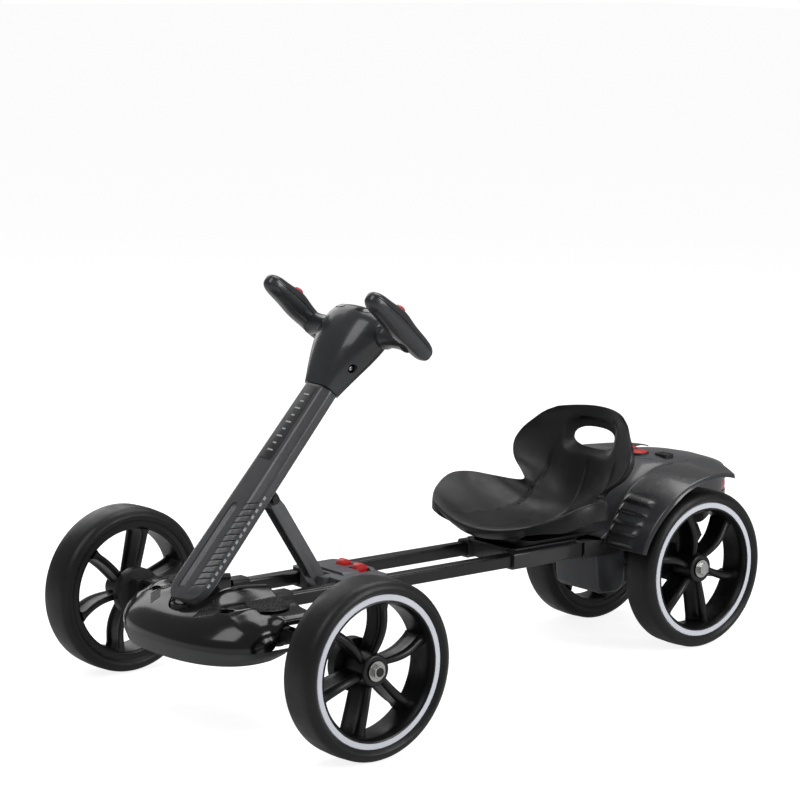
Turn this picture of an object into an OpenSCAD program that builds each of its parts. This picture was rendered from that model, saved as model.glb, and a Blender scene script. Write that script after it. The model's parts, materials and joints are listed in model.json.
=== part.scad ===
// Folding ride-on kart: two rails, a folding steering column, swing-in front wheels,
// a bucket seat and a driven rear unit.
// Millimetres. The front faces -Y, the driver's left is +X, +Z is up, the floor is z = 0.
// Lengths along the kart are measured from the front axle; in_kart() moves the whole
// kart so that the origin lies under the middle of its length and width.

/* [Wheels] */
// Wheel diameter
wheel_d = 230; // [220:1:240]
// Tyre width
tyre_w = 57.6; // [50:0.2:60]
// Distance between the front and the rear axle
wheelbase = 733; // [725:1:745]
// Distance between the middles of the front wheels
front_track = 536; // [530:1:545]
// Distance between the middles of the rear wheels
rear_track = 216; // [214:1:222]
// Number of spokes in each rim
spokes = 6; // [5:1:8]

/* [Steering column] */
// Column angle above the horizontal
column_angle = 48.8; // [47:0.2:50]
// Column width where it enters the fairing
column_foot_w = 68; // [62:1:70]
// Column width under the head
column_top_w = 52; // [48:1:56]
// Distance from the column's middle to the middle of each grip
grip_x = 108; // [104:1:124]
// Grip length
grip_l = 138; // [120:1:140]

/* [Frame] */
// Distance from the middle to each rail
rail_x = 47.5; // [46:0.5:48]
// Rail width
rail_w = 18; // [16:0.5:18]
// Rail height
rail_h = 19; // [17:0.5:20]
// Rail wall
rail_wall = 1.6; // [1.2:0.1:2.5]
// Distance from the middle to each swing arm's pivot
arm_pivot_x = 72; // [71:0.5:73]
// Swing arm length between its two pins
arm_l = 128; // [126:1:130]

/* [Seat] */
// Seat shell thickness
seat_wall = 7; // [5:0.5:8]

/* [Body panels] */
// Wall of the moulded covers
cover_wall = 3; // [2:0.5:4]

/* [Hidden] */
$fn = 48;

// Overshoot of a cut past the face that it opens
past = 1;
// Radial running clearance of a pin in its bore
run = 0.05;

// Ends of the kart, from the front axle
nose_y = -132;
tail_y = 880;
middle_y = (nose_y + tail_y) / 2;

// Wheels
wheel_r = wheel_d / 2;
wheel_z = wheel_r;
rim_r = wheel_r - 25;
rim_wall = 6;
rim_half_w = 23;
hub_r = 19;
hub_half_l = 17;
axle_r = 6;
nut_r = 9;
washer_r = 12.7;
tyre_shoulder = 15;
tyre_bead_x = 23.7;

// Column fold: foot pivot, strut pivot on the column and strut pivot on the slider.
// The foot and the slider pivot lie at one height and the strut is as long as the
// distance between the two column pivots, so the slider's travel mirrors the fold.
fold_y = -37;
fold_z = 155;
strut_top_y = 46;
strut_top_z = 280;
strut_run_y = strut_top_y - fold_y;
strut_rise_z = strut_top_z - fold_z;
strut_l = sqrt(strut_run_y * strut_run_y + strut_rise_z * strut_rise_z);
strut_angle = atan2(strut_rise_z, strut_run_y);
slider_y = strut_top_y + strut_run_y;
strut_half_w = 10;
pin_r = 4;

// Column axis: its distance in front of the front axle, square to the axis
column_offset = 174;
column_half_d = 15;
tip_s = 58;
joint_s = 398;
head_top_s = 523;
shaft_r = 6;
tube_r = 11;
foot_ball_s = 60;
foot_ball_r = 8;
axis_y = -column_offset * sin(column_angle);
axis_z = column_offset * cos(column_angle);
// Column pivots in the column's own frame: [rearwards from the axis, along the axis]
function in_column(y, z) = [
    (y - axis_y) * sin(column_angle) - (z - axis_z) * cos(column_angle),
    (y - axis_y) * cos(column_angle) + (z - axis_z) * sin(column_angle)];
foot_pivot = in_column(fold_y, fold_z);
strut_pivot = in_column(strut_top_y, strut_top_z);

// Swing arms, knuckles and steering
arm_y = 8;
arm_low = 112;
arm_high = 130;
arm_eye_r = 13;
kingpin_x = arm_pivot_x + arm_l;
kingpin_r = 6;
wheel_x = front_track / 2;
knuckle_low = 100;
knuckle_high = 136;
steer_arm_l = 35;
rod_low = 91;
rod_high = 97.5;
relay_low = 98;
relay_high = 102;
pitman_y = axis_y + foot_ball_s * cos(column_angle);
cup_z = axis_z + foot_ball_s * sin(column_angle);

// Rails and what runs on them
rail_z = 154;
rail_y0 = -34;
rail_y1 = 590;
plate_low = 105;
plate_high = 136;
plate_t = 4.5;

// Front fairing
fair_half_w = 140;
fair_mid_y = -48;
fair_rear_y = 14;
lip_low = 97;
lip_high = 117;

// Rear unit
rear_half = rear_track / 2;
deck_half_w = 64;
deck_tail_mid_y = 816;
fender_r = 136;
fender_wall = 3;
frame_plate_x = 60;

module in_kart() translate([0, -middle_y, 0]) children();

// Frame of the column: +Z along its axis, +Y square to it and rearwards
module on_column() in_kart() translate([0, axis_y, axis_z]) rotate([column_angle - 90, 0, 0]) children();

// Right-hand copy of a left-hand part
module mirrored(side) mirror([side < 0 ? 1 : 0, 0, 0]) children();

function arc(cx, cy, rx, ry, a0, a1, n = 10) =
    [for (i = [0:n]) [cx + rx * cos(a0 + (a1 - a0) * i / n), cy + ry * sin(a0 + (a1 - a0) * i / n)]];

// Flat rectangle with round corners
module rounded(w, h, r) {
    square([w - 2 * r, h], center = true);
    square([w, h - 2 * r], center = true);
    for (sx = [-1, 1]) for (sy = [-1, 1]) translate([sx * (w / 2 - r), sy * (h / 2 - r)]) circle(r);
}

// Solid along X from x0 to x1, with an outline drawn in (y, z)
module along_x(x0, x1) translate([x0, 0, 0]) rotate([90, 0, 90]) linear_extrude(x1 - x0) children();

// Solid along Y from y0 to y1, with an outline drawn in (x, z)
module along_y(y0, y1) translate([0, y1, 0]) rotate([90, 0, 0]) linear_extrude(y1 - y0) children();

// Solid along Z from z0 to z1
module along_z(z0, z1) translate([0, 0, z0]) linear_extrude(z1 - z0) children();

// Round pin or bore along X
module pin_x(x0, x1, y, z, r) translate([x0, y, z]) rotate([0, 90, 0]) cylinder(r = r, h = x1 - x0);

// Round pin or bore along Z
module pin_z(z0, z1, x, y, r) translate([x, y, z0]) cylinder(r = r, h = z1 - z0);

// ---------------------------------------------------------------- frame

module rail_section(grow = 0) rounded(rail_w + 2 * grow, rail_h + 2 * grow, 4);

module rails() color("#161616") in_kart()
    for (sx = [-1, 1]) translate([sx * rail_x, 0, rail_z]) along_y(rail_y0, rail_y1) difference() {
        rail_section();
        rounded(rail_w - 2 * rail_wall, rail_h - 2 * rail_wall, 2.5);
    }

module rail_collars() color("#141414") in_kart()
    for (sx = [-1, 1]) translate([sx * rail_x, 0, rail_z]) along_y(fair_rear_y + 2, 44) difference() {
        rounded(rail_w + 7, rail_h + 7, 6);
        rail_section();
    }

module crossmember_plate() {
    translate([0, -5]) square([2 * arm_pivot_x + 28, 58], center = true);
    translate([0, -22]) square([80, 60], center = true);
    hull() {
        translate([0, pitman_y]) circle(15);
        translate([0, -40]) square([60, 10], center = true);
    }
}

// Two plates and a core box: it holds both arm pivots, the column's foot and the rails
module front_crossmember() color("#202124") in_kart() difference() {
    union() {
        along_z(plate_low, plate_low + plate_t) crossmember_plate();
        along_z(plate_high - plate_t, plate_high) crossmember_plate();
        along_z(plate_low, plate_high) translate([0, -22]) square([70, 44], center = true);
        // Saddles under the rails
        for (sx = [-1, 1]) translate([sx * rail_x, 0, 0])
            along_z(plate_high, rail_z - rail_h / 2) translate([0, -9]) square([rail_w - 4, 48], center = true);
        // Ears of the column's foot
        for (sx = [-1, 1]) along_x(sx > 0 ? 11.5 : -16.5, sx > 0 ? 16.5 : -11.5) {
            translate([fold_y, fold_z]) circle(9);
            translate([fold_y - 9, plate_high - plate_t]) square([18, fold_z - plate_high + plate_t]);
        }
        // Guide studs of the relay rod
        for (sx = [-1, 1]) pin_z(relay_low, plate_low + 1, sx * 40, arm_y + steer_arm_l - 20, 5);
    }
    pin_x(-20, 20, fold_y, fold_z, pin_r);
    for (sx = [-1, 1]) pin_z(plate_low - past, plate_high + past, sx * arm_pivot_x, arm_y, kingpin_r);
    pin_z(plate_low - past, plate_high + past, 0, pitman_y, 7 + run);
}

// Arm pivot pins and the hinge pin of the column's foot
module pivot_pins() color("#9a9a9c") in_kart() {
    for (sx = [-1, 1]) {
        pin_z(plate_low - 2.5, plate_high + 2.5, sx * arm_pivot_x, arm_y, kingpin_r);
        pin_z(plate_high, plate_high + 3, sx * arm_pivot_x, arm_y, kingpin_r + 3);
        pin_z(plate_low - 2.5, plate_low, sx * arm_pivot_x, arm_y, kingpin_r + 3);
    }
    pin_x(-19, 19, fold_y, fold_z, pin_r);
    for (sx = [-1, 1]) pin_x(sx > 0 ? 16.5 : -19.5, sx > 0 ? 19.5 : -16.5, fold_y, fold_z, pin_r + 2.5);
}

// ---------------------------------------------------------------- fairing

// Plan outline of the nose, drawn in by inset
function nose_plan(inset) = concat(
    arc(0, fair_mid_y, fair_half_w - inset, fair_mid_y - nose_y - inset, 180, 360, 36),
    arc(fair_half_w - 28, fair_rear_y - 26, 28 - inset, 26 - inset, 0, 90, 8),
    arc(-fair_half_w + 28, fair_rear_y - 26, 28 - inset, 26 - inset, 90, 180, 8));

// Side outline of the cover's top, drawn in by inset
function nose_side(inset) = concat(
    [[fair_rear_y + 1, lip_high - 9], [nose_y - 1, lip_high - 9]],
    arc(-78, 128, 53.5 - inset, 36 - inset, 180, 95, 10),
    [[-30, 166 - inset], [fair_rear_y + 1, 164 - inset]]);

// Front outline of the cover, drawn in by inset
function nose_front(inset) = concat(
    [[fair_half_w + 1, lip_high - 10], [-fair_half_w - 1, lip_high - 10]],
    arc(-fair_half_w + 40, 134, 41 - inset, 33 - inset, 180, 90, 8),
    arc(fair_half_w - 40, 134, 41 - inset, 33 - inset, 90, 0, 8));

module nose_block(inset) intersection() {
    along_z(lip_high, 180) polygon(nose_plan(inset));
    along_x(-160, 160) polygon(nose_side(inset));
    along_y(-150, 50) polygon(nose_front(inset));
}

// Plan outline of one footrest pad, grown outwards by grow
module pad_plan(grow = 0) hull() {
    translate([82, -24]) circle(24 + grow);
    translate([104, -30]) circle(17 + grow);
    translate([104, -6]) circle(14 + grow);
    translate([78, -6]) circle(18 + grow);
}

// Open middle of the fairing, where the column and the rails lie
module fairing_middle() {
    translate([0, -70]) circle(38);
    translate([-38, -70]) square([76, 100]);
    translate([-57, -56]) square([114, 90]);
}

module front_fairing() color("#0c0c0d") in_kart() difference() {
    nose_block(0);
    difference() {
        nose_block(cover_wall);
        // Walls beside the open middle
        along_z(100, 180) difference() {
            offset(delta = cover_wall) fairing_middle();
            translate([-70, -20]) square([140, 60]);
        }
    }
    along_z(100, 180) fairing_middle();
    along_z(100, 180) for (sx = [-1, 1]) mirrored(sx) {
        pad_plan(0.3);
        // Gap between the nose and the pad
        translate([72, -50]) square([30, 14], center = true);
    }
    // Open rear, and the arches that the arms swing through
    along_z(100, 158) for (sx = [-1, 1]) mirrored(sx) translate([60, -24]) square([100, 60]);
    // Clearance round the crossmember and the arms' eyes
    along_z(100, 140) translate([0, -20]) square([2 * arm_pivot_x + 34, 70], center = true);
}

// Lower band of the nose
module front_lip() color("#505155") in_kart() difference() {
    along_z(lip_low, lip_high) difference() {
        polygon(nose_plan(1));
        polygon(nose_plan(1 + cover_wall));
        translate([-160, -24]) square([320, 60]);
    }
}

// Ribbed footrests, let into the top of the fairing
module footrest_pads() color("#1b1b1b") in_kart() for (sx = [-1, 1]) mirrored(sx) difference() {
    along_z(159, 165) pad_plan();
    for (i = [-3:3]) translate([92 + i * 8, -20, 165]) rotate([0, 0, 35]) cube([2, 90, 2.4], center = true);
}

// ---------------------------------------------------------------- column

// Eight-sided column section; k scales it in, for the hollow
module column_section(w, d, k = 0) polygon([
    [-w / 2 + k, -d * 0.2], [-w * 0.3 + k / 2, -d / 2 + k], [w * 0.3 - k / 2, -d / 2 + k], [w / 2 - k, -d * 0.2],
    [w / 2 - k, d * 0.25], [w * 0.32 - k / 2, d / 2 - k], [-w * 0.32 + k / 2, d / 2 - k], [-w / 2 + k, d * 0.25]]);

// Straight tapered bar of the column's section, drawn in by k and longer by extra at each end
module column_bar(k, extra) hull() {
    translate([0, 0, tip_s - extra]) linear_extrude(1) column_section(column_foot_w, 2 * column_half_d, k);
    translate([0, 0, joint_s - 1 + extra]) linear_extrude(1) column_section(column_top_w, 2 * column_half_d, k);
}

// Hollow column body, open at both ends, with a rounded V foot
module column_shell() difference() {
    column_bar(0, 0);
    column_bar(cover_wall, 6);
    along_y(-60, 60) difference() {
        translate([-50, tip_s - 10]) square([100, 10 + column_foot_w / 2]);
        translate([0, tip_s + column_foot_w / 2]) circle(column_foot_w / 2 + 1);
    }
}

module column_cover_front() color("#45464a") on_column() intersection() {
    column_shell();
    translate([-60, -60, 0]) cube([120, 60, 500]);
}

module column_cover_rear() color("#45464a") on_column() difference() {
    intersection() {
        column_shell();
        translate([-60, 0.2, 0]) cube([120, 60, 500]);
    }
    // Slots for the foot lug and the strut's ears
    translate([-11.5, 0, 40]) cube([23, 40, foot_pivot[1] + 22 - 40]);
    translate([-15.5, 0, strut_pivot[1] - 24]) cube([31, 40, 38]);
}

// Steel tube inside the covers, with its foot lug and the strut's two ears
module column_tube() color("#2a2b2d") on_column() difference() {
    union() {
        translate([0, 0, foot_pivot[1] - 8]) cylinder(r = tube_r, h = joint_s - foot_pivot[1] + 7);
        along_x(-8.5, 8.5) polygon(concat(
            arc(foot_pivot[0], foot_pivot[1], 9, 9, -90, 90, 10),
            [[0, foot_pivot[1] + 22], [0, foot_pivot[1] - 6]]));
        for (sx = [-1, 1]) along_x(sx > 0 ? 10.8 : -14, sx > 0 ? 14 : -10.8) polygon(concat(
            arc(strut_pivot[0], strut_pivot[1], 8, 8, -90, 90, 10),
            [[0, strut_pivot[1] + 12], [0, strut_pivot[1] - 18]]));
        for (z = [110, 190, 320, 388]) translate([0, 0, z]) cylinder(r = tube_r + 0.5, h = 6);
    }
    translate([0, 0, 40]) cylinder(r = shaft_r + 1.5, h = joint_s);
    pin_x(-20, 20, foot_pivot[0], foot_pivot[1], pin_r + run);
    pin_x(-20, 20, strut_pivot[0], strut_pivot[1], pin_r);
}

module strut_pivot_bolt() color("#101010") on_column() {
    pin_x(-16, 16, strut_pivot[0], strut_pivot[1], pin_r);
    for (sx = [-1, 1]) pin_x(sx > 0 ? 14 : -18, sx > 0 ? 18 : -14, strut_pivot[0], strut_pivot[1], 5.8);
}

// ---------------------------------------------------------------- handlebar

// Round shaft from the handlebar down to the ball that sits in the steering cup
module steering_shaft() color("#b5b6b8") on_column() {
    translate([0, 0, foot_ball_s]) cylinder(r = shaft_r, h = 505 - foot_ball_s);
    translate([0, 0, foot_ball_s]) sphere(r = foot_ball_r);
    translate([0, 0, joint_s + 5]) cylinder(r = 12, h = 7);
}

// Bell-shaped head, grown inwards by k
module head_bell(k) hull() {
    translate([0, 0, joint_s + 1.5 + k]) linear_extrude(1) column_section(column_top_w, 32, k);
    translate([0, -3, joint_s + 55]) linear_extrude(1) rounded(90 - 2 * k, 56 - 2 * k, 18 - k);
    translate([0, -3, 504]) linear_extrude(1) rounded(113 - 2 * k, 74 - 2 * k, 26 - k);
    translate([0, -1, head_top_s - 1.5 - k]) linear_extrude(1) rounded(94 - 2 * k, 54 - 2 * k, 20 - k);
}

module head_shell() difference() {
    head_bell(0);
    head_bell(cover_wall);
    pin_x(-70, 70, 0, 496, 15.4);
    translate([0, 0, joint_s - 5]) cylinder(r = shaft_r + 0.3, h = 20);
}

module head_shell_front() color("#45464a") on_column() intersection() {
    head_shell();
    translate([-80, -80, 380]) cube([160, 80, 160]);
}

module head_shell_rear() color("#45464a") on_column() intersection() {
    head_shell();
    translate([-80, 0.2, 380]) cube([160, 80, 160]);
}

// Crossbar through the head that carries both grips
module handlebar_tube() color("#3c3d41") on_column() difference() {
    union() {
        pin_x(-grip_x + 8, grip_x - 8, 0, 496, 15);
        for (sx = [-1, 1]) pin_x(sx > 0 ? 58 : -66, sx > 0 ? 66 : -58, 0, 496, 17.5);
    }
    translate([0, 0, 480]) cylinder(r = shaft_r, h = 25);
}

// Flat oblong grip standing square to the column
module grip(side) color("#3f4044") on_column() mirrored(side) translate([grip_x, -30, 500]) difference() {
    rotate([0, 90, 0]) translate([0, 0, -14]) linear_extrude(28) hull() {
        translate([0, -grip_l / 2 + 13]) circle(12);
        translate([3, 0]) circle(15);
        translate([0, grip_l / 2 - 12]) circle(11);
    }
    // Blind hole of the crossbar
    translate([-15, 30, -4]) rotate([0, 90, 0]) cylinder(r = 15, h = 7);
    // Thumb button's seat
    translate([0, -14, 8]) cylinder(r = 8.4, h = 20);
}

module left_grip() grip(1);
module right_grip() grip(-1);

module thumb_button(side) color("#d8232a") on_column() mirrored(side) translate([grip_x, -44, 511]) {
    cylinder(r = 8, h = 5);
    translate([0, 0, 5]) cylinder(r1 = 8, r2 = 6, h = 1.5, $fn = 48);
}

module left_thumb_button() thumb_button(1);
module right_thumb_button() thumb_button(-1);

// ---------------------------------------------------------------- strut and slider

// Side outline of the strut, along its own length from the top pivot at 0
module strut_side(k) {
    circle(8 - k);
    translate([strut_l, 0]) circle(8 - k);
    polygon([[0, -8 + k], [strut_l, -8 + k], [strut_l, 8 - k], [strut_l - 14, 11 - k], [20, 11 - k], [0, 8 - k]]);
}

module on_strut() in_kart() translate([0, strut_top_y, strut_top_z]) rotate([-strut_angle, 0, 0]) children();

// Channel, open on its front side
module strut() color("#66676b") on_strut() difference() {
    along_x(-strut_half_w, strut_half_w) strut_side(0);
    translate([0, -2.5, 0]) along_x(-strut_half_w + 2.5, strut_half_w - 2.5)
        translate([14, -20]) square([strut_l - 28, 28.5]);
    pin_x(-20, 20, 0, 0, pin_r + run);
    pin_x(-20, 20, strut_l, 0, pin_r + run);
}

// Carriage that runs on both rails and carries the strut's foot
module slider_block() color("#6d6e72") in_kart() difference() {
    union() {
        along_z(141, 167) {
            translate([0, 167]) rounded(118, 76, 8);
            translate([0, 134]) rounded(52, 28, 6);
        }
        translate([0, 0, 160]) along_y(150, 204) rounded(64, 20, 8);
        pin_x(-15, 15, slider_y, fold_z, 9);
    }
    for (sx = [-1, 1]) translate([sx * rail_x, 0, rail_z]) along_y(100, 220) rail_section(0.6);
    // Slot of the strut
    translate([-strut_half_w - 0.6, 110, 144]) cube([2 * strut_half_w + 1.2, 33, 40]);
    pin_x(-15.5, 15.5, slider_y, fold_z, pin_r);
    // Seats of the latches
    for (sx = [-1, 1]) translate([sx * 17 - 13, 177, 163]) cube([26, 20, 20]);
}

// Sprung D-shaped release
module latch(side) color("#d8232a") in_kart() mirrored(side) translate([17, 187, 0]) {
    along_x(-6, 6) intersection() {
        translate([0, 167]) circle(9.7);
        translate([-20, 163.5]) square([40, 40]);
    }
    translate([-6, -4, 163.3]) cube([12, 8, 3]);
}

module left_latch() latch(1);
module right_latch() latch(-1);

// ---------------------------------------------------------------- front suspension

module arm(side) color("#17181a") in_kart() mirrored(side) difference() {
    union() {
        pin_z(arm_low, arm_high, arm_pivot_x, arm_y, arm_eye_r);
        pin_z(arm_low, arm_high, kingpin_x, arm_y, arm_eye_r - 2);
        along_z(arm_low, arm_high) translate([arm_pivot_x, arm_y - 9]) square([arm_l, 18]);
    }
    pin_z(arm_low - past, arm_high + past, arm_pivot_x, arm_y, kingpin_r + run);
    pin_z(arm_low - past, arm_high + past, kingpin_x, arm_y, kingpin_r + run);
    // Open web, so that the arm is a channel between its two eyes
    translate([arm_pivot_x + 20, arm_y - 6, arm_low + 3]) cube([arm_l - 38, 12, arm_high - arm_low]);
}

module left_arm() arm(1);
module right_arm() arm(-1);

module kingpin(side) color("#8f9092") in_kart() mirrored(side) {
    pin_z(knuckle_low - 0.4, knuckle_high + 0.4, kingpin_x, arm_y, kingpin_r);
}

module left_kingpin() kingpin(1);
module right_kingpin() kingpin(-1);

// Fork round the arm's end, steering arm, backing disc and stub axle, in one piece
module knuckle(side) color("#26272a") in_kart() mirrored(side) difference() {
    union() {
        for (z = [knuckle_low, knuckle_high - 5]) along_z(z, z + 5) {
            translate([kingpin_x, arm_y]) circle(12);
            translate([kingpin_x, arm_y - 12]) square([26, 24]);
        }
        translate([kingpin_x + 17, arm_y - 20, knuckle_low]) cube([14, 38, knuckle_high - knuckle_low]);
        pin_x(kingpin_x + 30, wheel_x - rim_half_w - 1, 0, wheel_z, 34);
        pin_x(kingpin_x + 30, wheel_x + hub_half_l + 8, 0, wheel_z, axle_r);
        // Steering arm
        along_z(knuckle_low, knuckle_low + 5) {
            translate([kingpin_x, arm_y + steer_arm_l]) circle(12);
            translate([kingpin_x - 7, arm_y]) square([14, steer_arm_l]);
        }
    }
    pin_z(knuckle_low - past, knuckle_high + past, kingpin_x, arm_y, kingpin_r + run);
    // Wide eye of the tie rod's ball pin
    pin_z(knuckle_low - past, knuckle_low + 5 + past, kingpin_x, arm_y + steer_arm_l, pin_r + 3.2);
}

module left_knuckle() knuckle(1);
module right_knuckle() knuckle(-1);

module tie_rod(side) color("#3a3b3d") in_kart() mirrored(side) {
    translate([0, arm_y + steer_arm_l, (rod_low + rod_high) / 2]) rotate([0, 90, 0])
        translate([0, 0, arm_pivot_x]) cylinder(r = 3.2, h = arm_l);
    for (x = [arm_pivot_x, kingpin_x]) {
        pin_z(rod_low, rod_high, x, arm_y + steer_arm_l, 6.5);
        pin_z(rod_high, x == kingpin_x ? knuckle_low + 7 : relay_high + 2, x, arm_y + steer_arm_l, pin_r);
    }
}

module left_tie_rod() tie_rod(1);
module right_tie_rod() tie_rod(-1);

// T-shaped plate that slides sideways and carries the inner ends of both tie rods
module relay_rod() color("#4a4b4e") in_kart() difference() {
    along_z(relay_low, relay_high) {
        translate([0, arm_y + steer_arm_l]) rounded(2 * arm_pivot_x + 20, 18, 8);
        translate([0, (pitman_y + 30 + arm_y + steer_arm_l) / 2])
            square([24, arm_y + steer_arm_l - pitman_y - 30], center = true);
        translate([0, arm_y + steer_arm_l - 20]) rounded(112, 24, 6);
    }
    for (sx = [-1, 1]) {
        pin_z(relay_low - past, relay_high + past, sx * arm_pivot_x, arm_y + steer_arm_l, pin_r + run);
        // Slots of the guide studs
        along_z(relay_low - past, relay_high + past) translate([sx * 40, arm_y + steer_arm_l - 20]) {
            square([27, 10.4], center = true);
            for (e = [-13.5, 13.5]) translate([e, 0]) circle(5.2);
        }
    }
    // Slot of the pitman arm's pin, open at the front
    along_z(relay_low - past, relay_high + past) translate([-4.5, pitman_y + 20]) square([9, 24]);
}

// Vertical spindle: cup under the column's ball, arm and pin that push the relay rod
module pitman_arm() color("#5a5b5e") in_kart() difference() {
    union() {
        pin_z(rod_low, plate_high + 1, 0, pitman_y, 7);
        pin_z(plate_high + 0.5, cup_z - 1, 0, pitman_y, 14);
        along_z(rod_low, rod_high) {
            translate([0, pitman_y]) circle(11);
            translate([-6, pitman_y]) square([12, steer_arm_l]);
            translate([0, pitman_y + steer_arm_l]) circle(7);
        }
        pin_z(rod_high, relay_high + 1, 0, pitman_y + steer_arm_l, pin_r);
    }
    pin_z(cup_z - foot_ball_r - 1.5, cup_z + 5, 0, pitman_y, foot_ball_r + 1.5);
}

module hub_fasteners() {
    pin_x(hub_half_l + 0.3, hub_half_l + 1.8, 0, 0, washer_r);
    difference() {
        translate([hub_half_l + 1.8, 0, 0]) rotate([0, 90, 0]) cylinder(r = nut_r, h = 5.5, $fn = 6);
        pin_x(0, 50, 0, 0, axle_r);
    }
}

module hub_nut(side) color("#c9cacc") in_kart() mirrored(side) translate([wheel_x, 0, wheel_z])
    difference() {
        hub_fasteners();
        pin_x(0, 50, 0, 0, axle_r);
    }

module left_hub_nut() hub_nut(1);
module right_hub_nut() hub_nut(-1);

// ---------------------------------------------------------------- wheels

// Tyre section in (radius, distance from the middle plane)
function tyre_half(side) = concat(
    [[rim_r, side * tyre_bead_x], [rim_r + 7.5, side * tyre_bead_x]],
    arc(rim_r + 9, side * (tyre_w / 2 - 4), 4, side * 4, 150, 90, 4),
    arc(wheel_r - tyre_shoulder, side * (tyre_w / 2 - tyre_shoulder), tyre_shoulder, side * tyre_shoulder, 80, 0, 8));

module tyre_shape() rotate([0, 90, 0]) rotate_extrude($fn = 96) polygon(concat(
    tyre_half(1), [for (i = [len(tyre_half(-1)) - 1:-1:0]) tyre_half(-1)[i]]));

// One spoke: a curved blade that widens towards the rim
module spoke() {
    r1 = rim_r - rim_wall + 1;
    polygon(concat(
        [for (t = [0:0.125:1]) let (r = 12 + (r1 - 12) * t, a = 26 * t * t - (7 + 1.5 * t) * 57.3 / r / 1.4) [r * cos(a), r * sin(a)]],
        [for (t = [1:-0.125:0]) let (r = 12 + (r1 - 12) * t, a = 26 * t * t + (7 + 4.5 * t) * 57.3 / r / 1.4) [r * cos(a), r * sin(a)]]));
}

module rim_shape() rotate([0, 90, 0]) difference() {
    union() {
        rotate_extrude($fn = 96) polygon([[rim_r - rim_wall, -rim_half_w], [rim_r, -rim_half_w],
            [rim_r, rim_half_w], [rim_r - rim_wall + 2, rim_half_w], [rim_r - rim_wall, rim_half_w - 4]]);
        translate([0, 0, -rim_half_w + 1]) cylinder(r = hub_r, h = rim_half_w + hub_half_l - 1);
        for (i = [0:spokes - 1]) rotate([0, 0, 360 / spokes * i]) translate([0, 0, -6]) linear_extrude(17) spoke();
    }
    translate([0, 0, -60]) cylinder(r = axle_r + run, h = 120);
}

module wheel_at(x, y, side) in_kart() mirrored(side) translate([x, y, wheel_z]) children();

module front_left_tyre() color("#1a1a1b") wheel_at(wheel_x, 0, 1) tyre_shape();
module front_right_tyre() color("#1a1a1b") wheel_at(wheel_x, 0, -1) tyre_shape();
module rear_left_tyre() color("#1a1a1b") wheel_at(rear_half, wheelbase, 1) tyre_shape();
module rear_right_tyre() color("#1a1a1b") wheel_at(rear_half, wheelbase, -1) tyre_shape();
module front_left_rim() color("#0e0e0f") wheel_at(wheel_x, 0, 1) rim_shape();
module front_right_rim() color("#0e0e0f") wheel_at(wheel_x, 0, -1) rim_shape();
module rear_left_rim() color("#0e0e0f") wheel_at(rear_half, wheelbase, 1) rim_shape();
module rear_right_rim() color("#0e0e0f") wheel_at(rear_half, wheelbase, -1) rim_shape();

module rear_axle() color("#a8a9ab") in_kart() pin_x(-rear_half - hub_half_l - 7, rear_half + hub_half_l + 7, wheelbase, wheel_z, axle_r);

module rear_hub_nuts() color("#c9cacc") for (side = [-1, 1]) wheel_at(rear_half, wheelbase, side) difference() {
    hub_fasteners();
    pin_x(0, 50, 0, 0, axle_r);
}

// ---------------------------------------------------------------- rear unit

// Seat shell, by stations from the front lip to the top of the back:
// [station, y, z, half width, rise at the sides, forward sweep at the sides]
seat_rows = [
    [0.00, 408, 185, 66, 14, 8], [0.04, 406, 193, 84, 18, 6], [0.12, 420, 197, 110, 24, 0],
    [0.24, 448, 192, 134, 36, 0], [0.38, 484, 189, 146, 54, 0], [0.50, 518, 188, 142, 54, 0],
    [0.60, 548, 190, 122, 46, 0], [0.68, 574, 196, 103, 38, -8], [0.75, 594, 208, 98, 30, -28],
    [0.82, 609, 230, 108, 18, -38], [0.88, 619, 262, 123, 8, -38], [0.94, 631, 305, 124, 5, -40],
    [0.98, 641, 336, 110, 3, -34], [1.00, 645, 348, 84, 0, -24]];
seat_steps = 30;
seat_cross = 16;
function seat_at(column, t) = lookup(t, [for (r = seat_rows) [r[0], r[column]]]);
function seat_point(i, j) = let (t = i / seat_steps, v = 2 * j / seat_cross - 1, e = abs(v) * abs(v))
    [seat_at(3, t) * v, seat_at(1, t) + seat_at(5, t) * e, seat_at(2, t) + seat_at(4, t) * e];
// Direction from the upper to the lower surface at a station
function seat_down(i) = let (
    a = seat_point(max(i - 1, 0), seat_cross / 2),
    b = seat_point(min(i + 1, seat_steps), seat_cross / 2),
    d = (b - a) / norm(b - a)) [0, d[2], -d[1]];

module seat_sheet() {
    cols = seat_cross + 1;
    count = (seat_steps + 1) * cols;
    top = [for (i = [0:seat_steps]) for (j = [0:seat_cross]) seat_point(i, j)];
    low = [for (i = [0:seat_steps]) for (j = [0:seat_cross]) seat_point(i, j) + seat_wall * seat_down(i)];
    upper_faces = [for (i = [0:seat_steps - 1]) for (j = [0:seat_cross - 1]) let (k = i * cols + j)
        each [[k, k + cols, k + cols + 1], [k, k + cols + 1, k + 1]]];
    lower_faces = [for (f = upper_faces) [f[0] + count, f[2] + count, f[1] + count]];
    front = [for (j = [0:seat_cross - 1]) each [[j, j + 1, j + 1 + count], [j, j + 1 + count, j + count]]];
    last = seat_steps * cols;
    back = [for (j = [0:seat_cross - 1]) let (k = last + j)
        each [[k, k + count, k + 1 + count], [k, k + 1 + count, k + 1]]];
    sides = [for (i = [0:seat_steps - 1]) let (k = i * cols, m = k + seat_cross)
        each [[k, k + count, k + cols + count], [k, k + cols + count, k + cols],
              [m, m + cols, m + cols + count], [m, m + cols + count, m + count]]];
    polyhedron(concat(top, low), concat(upper_faces, lower_faces, front, back, sides), convexity = 6);
}

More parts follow.
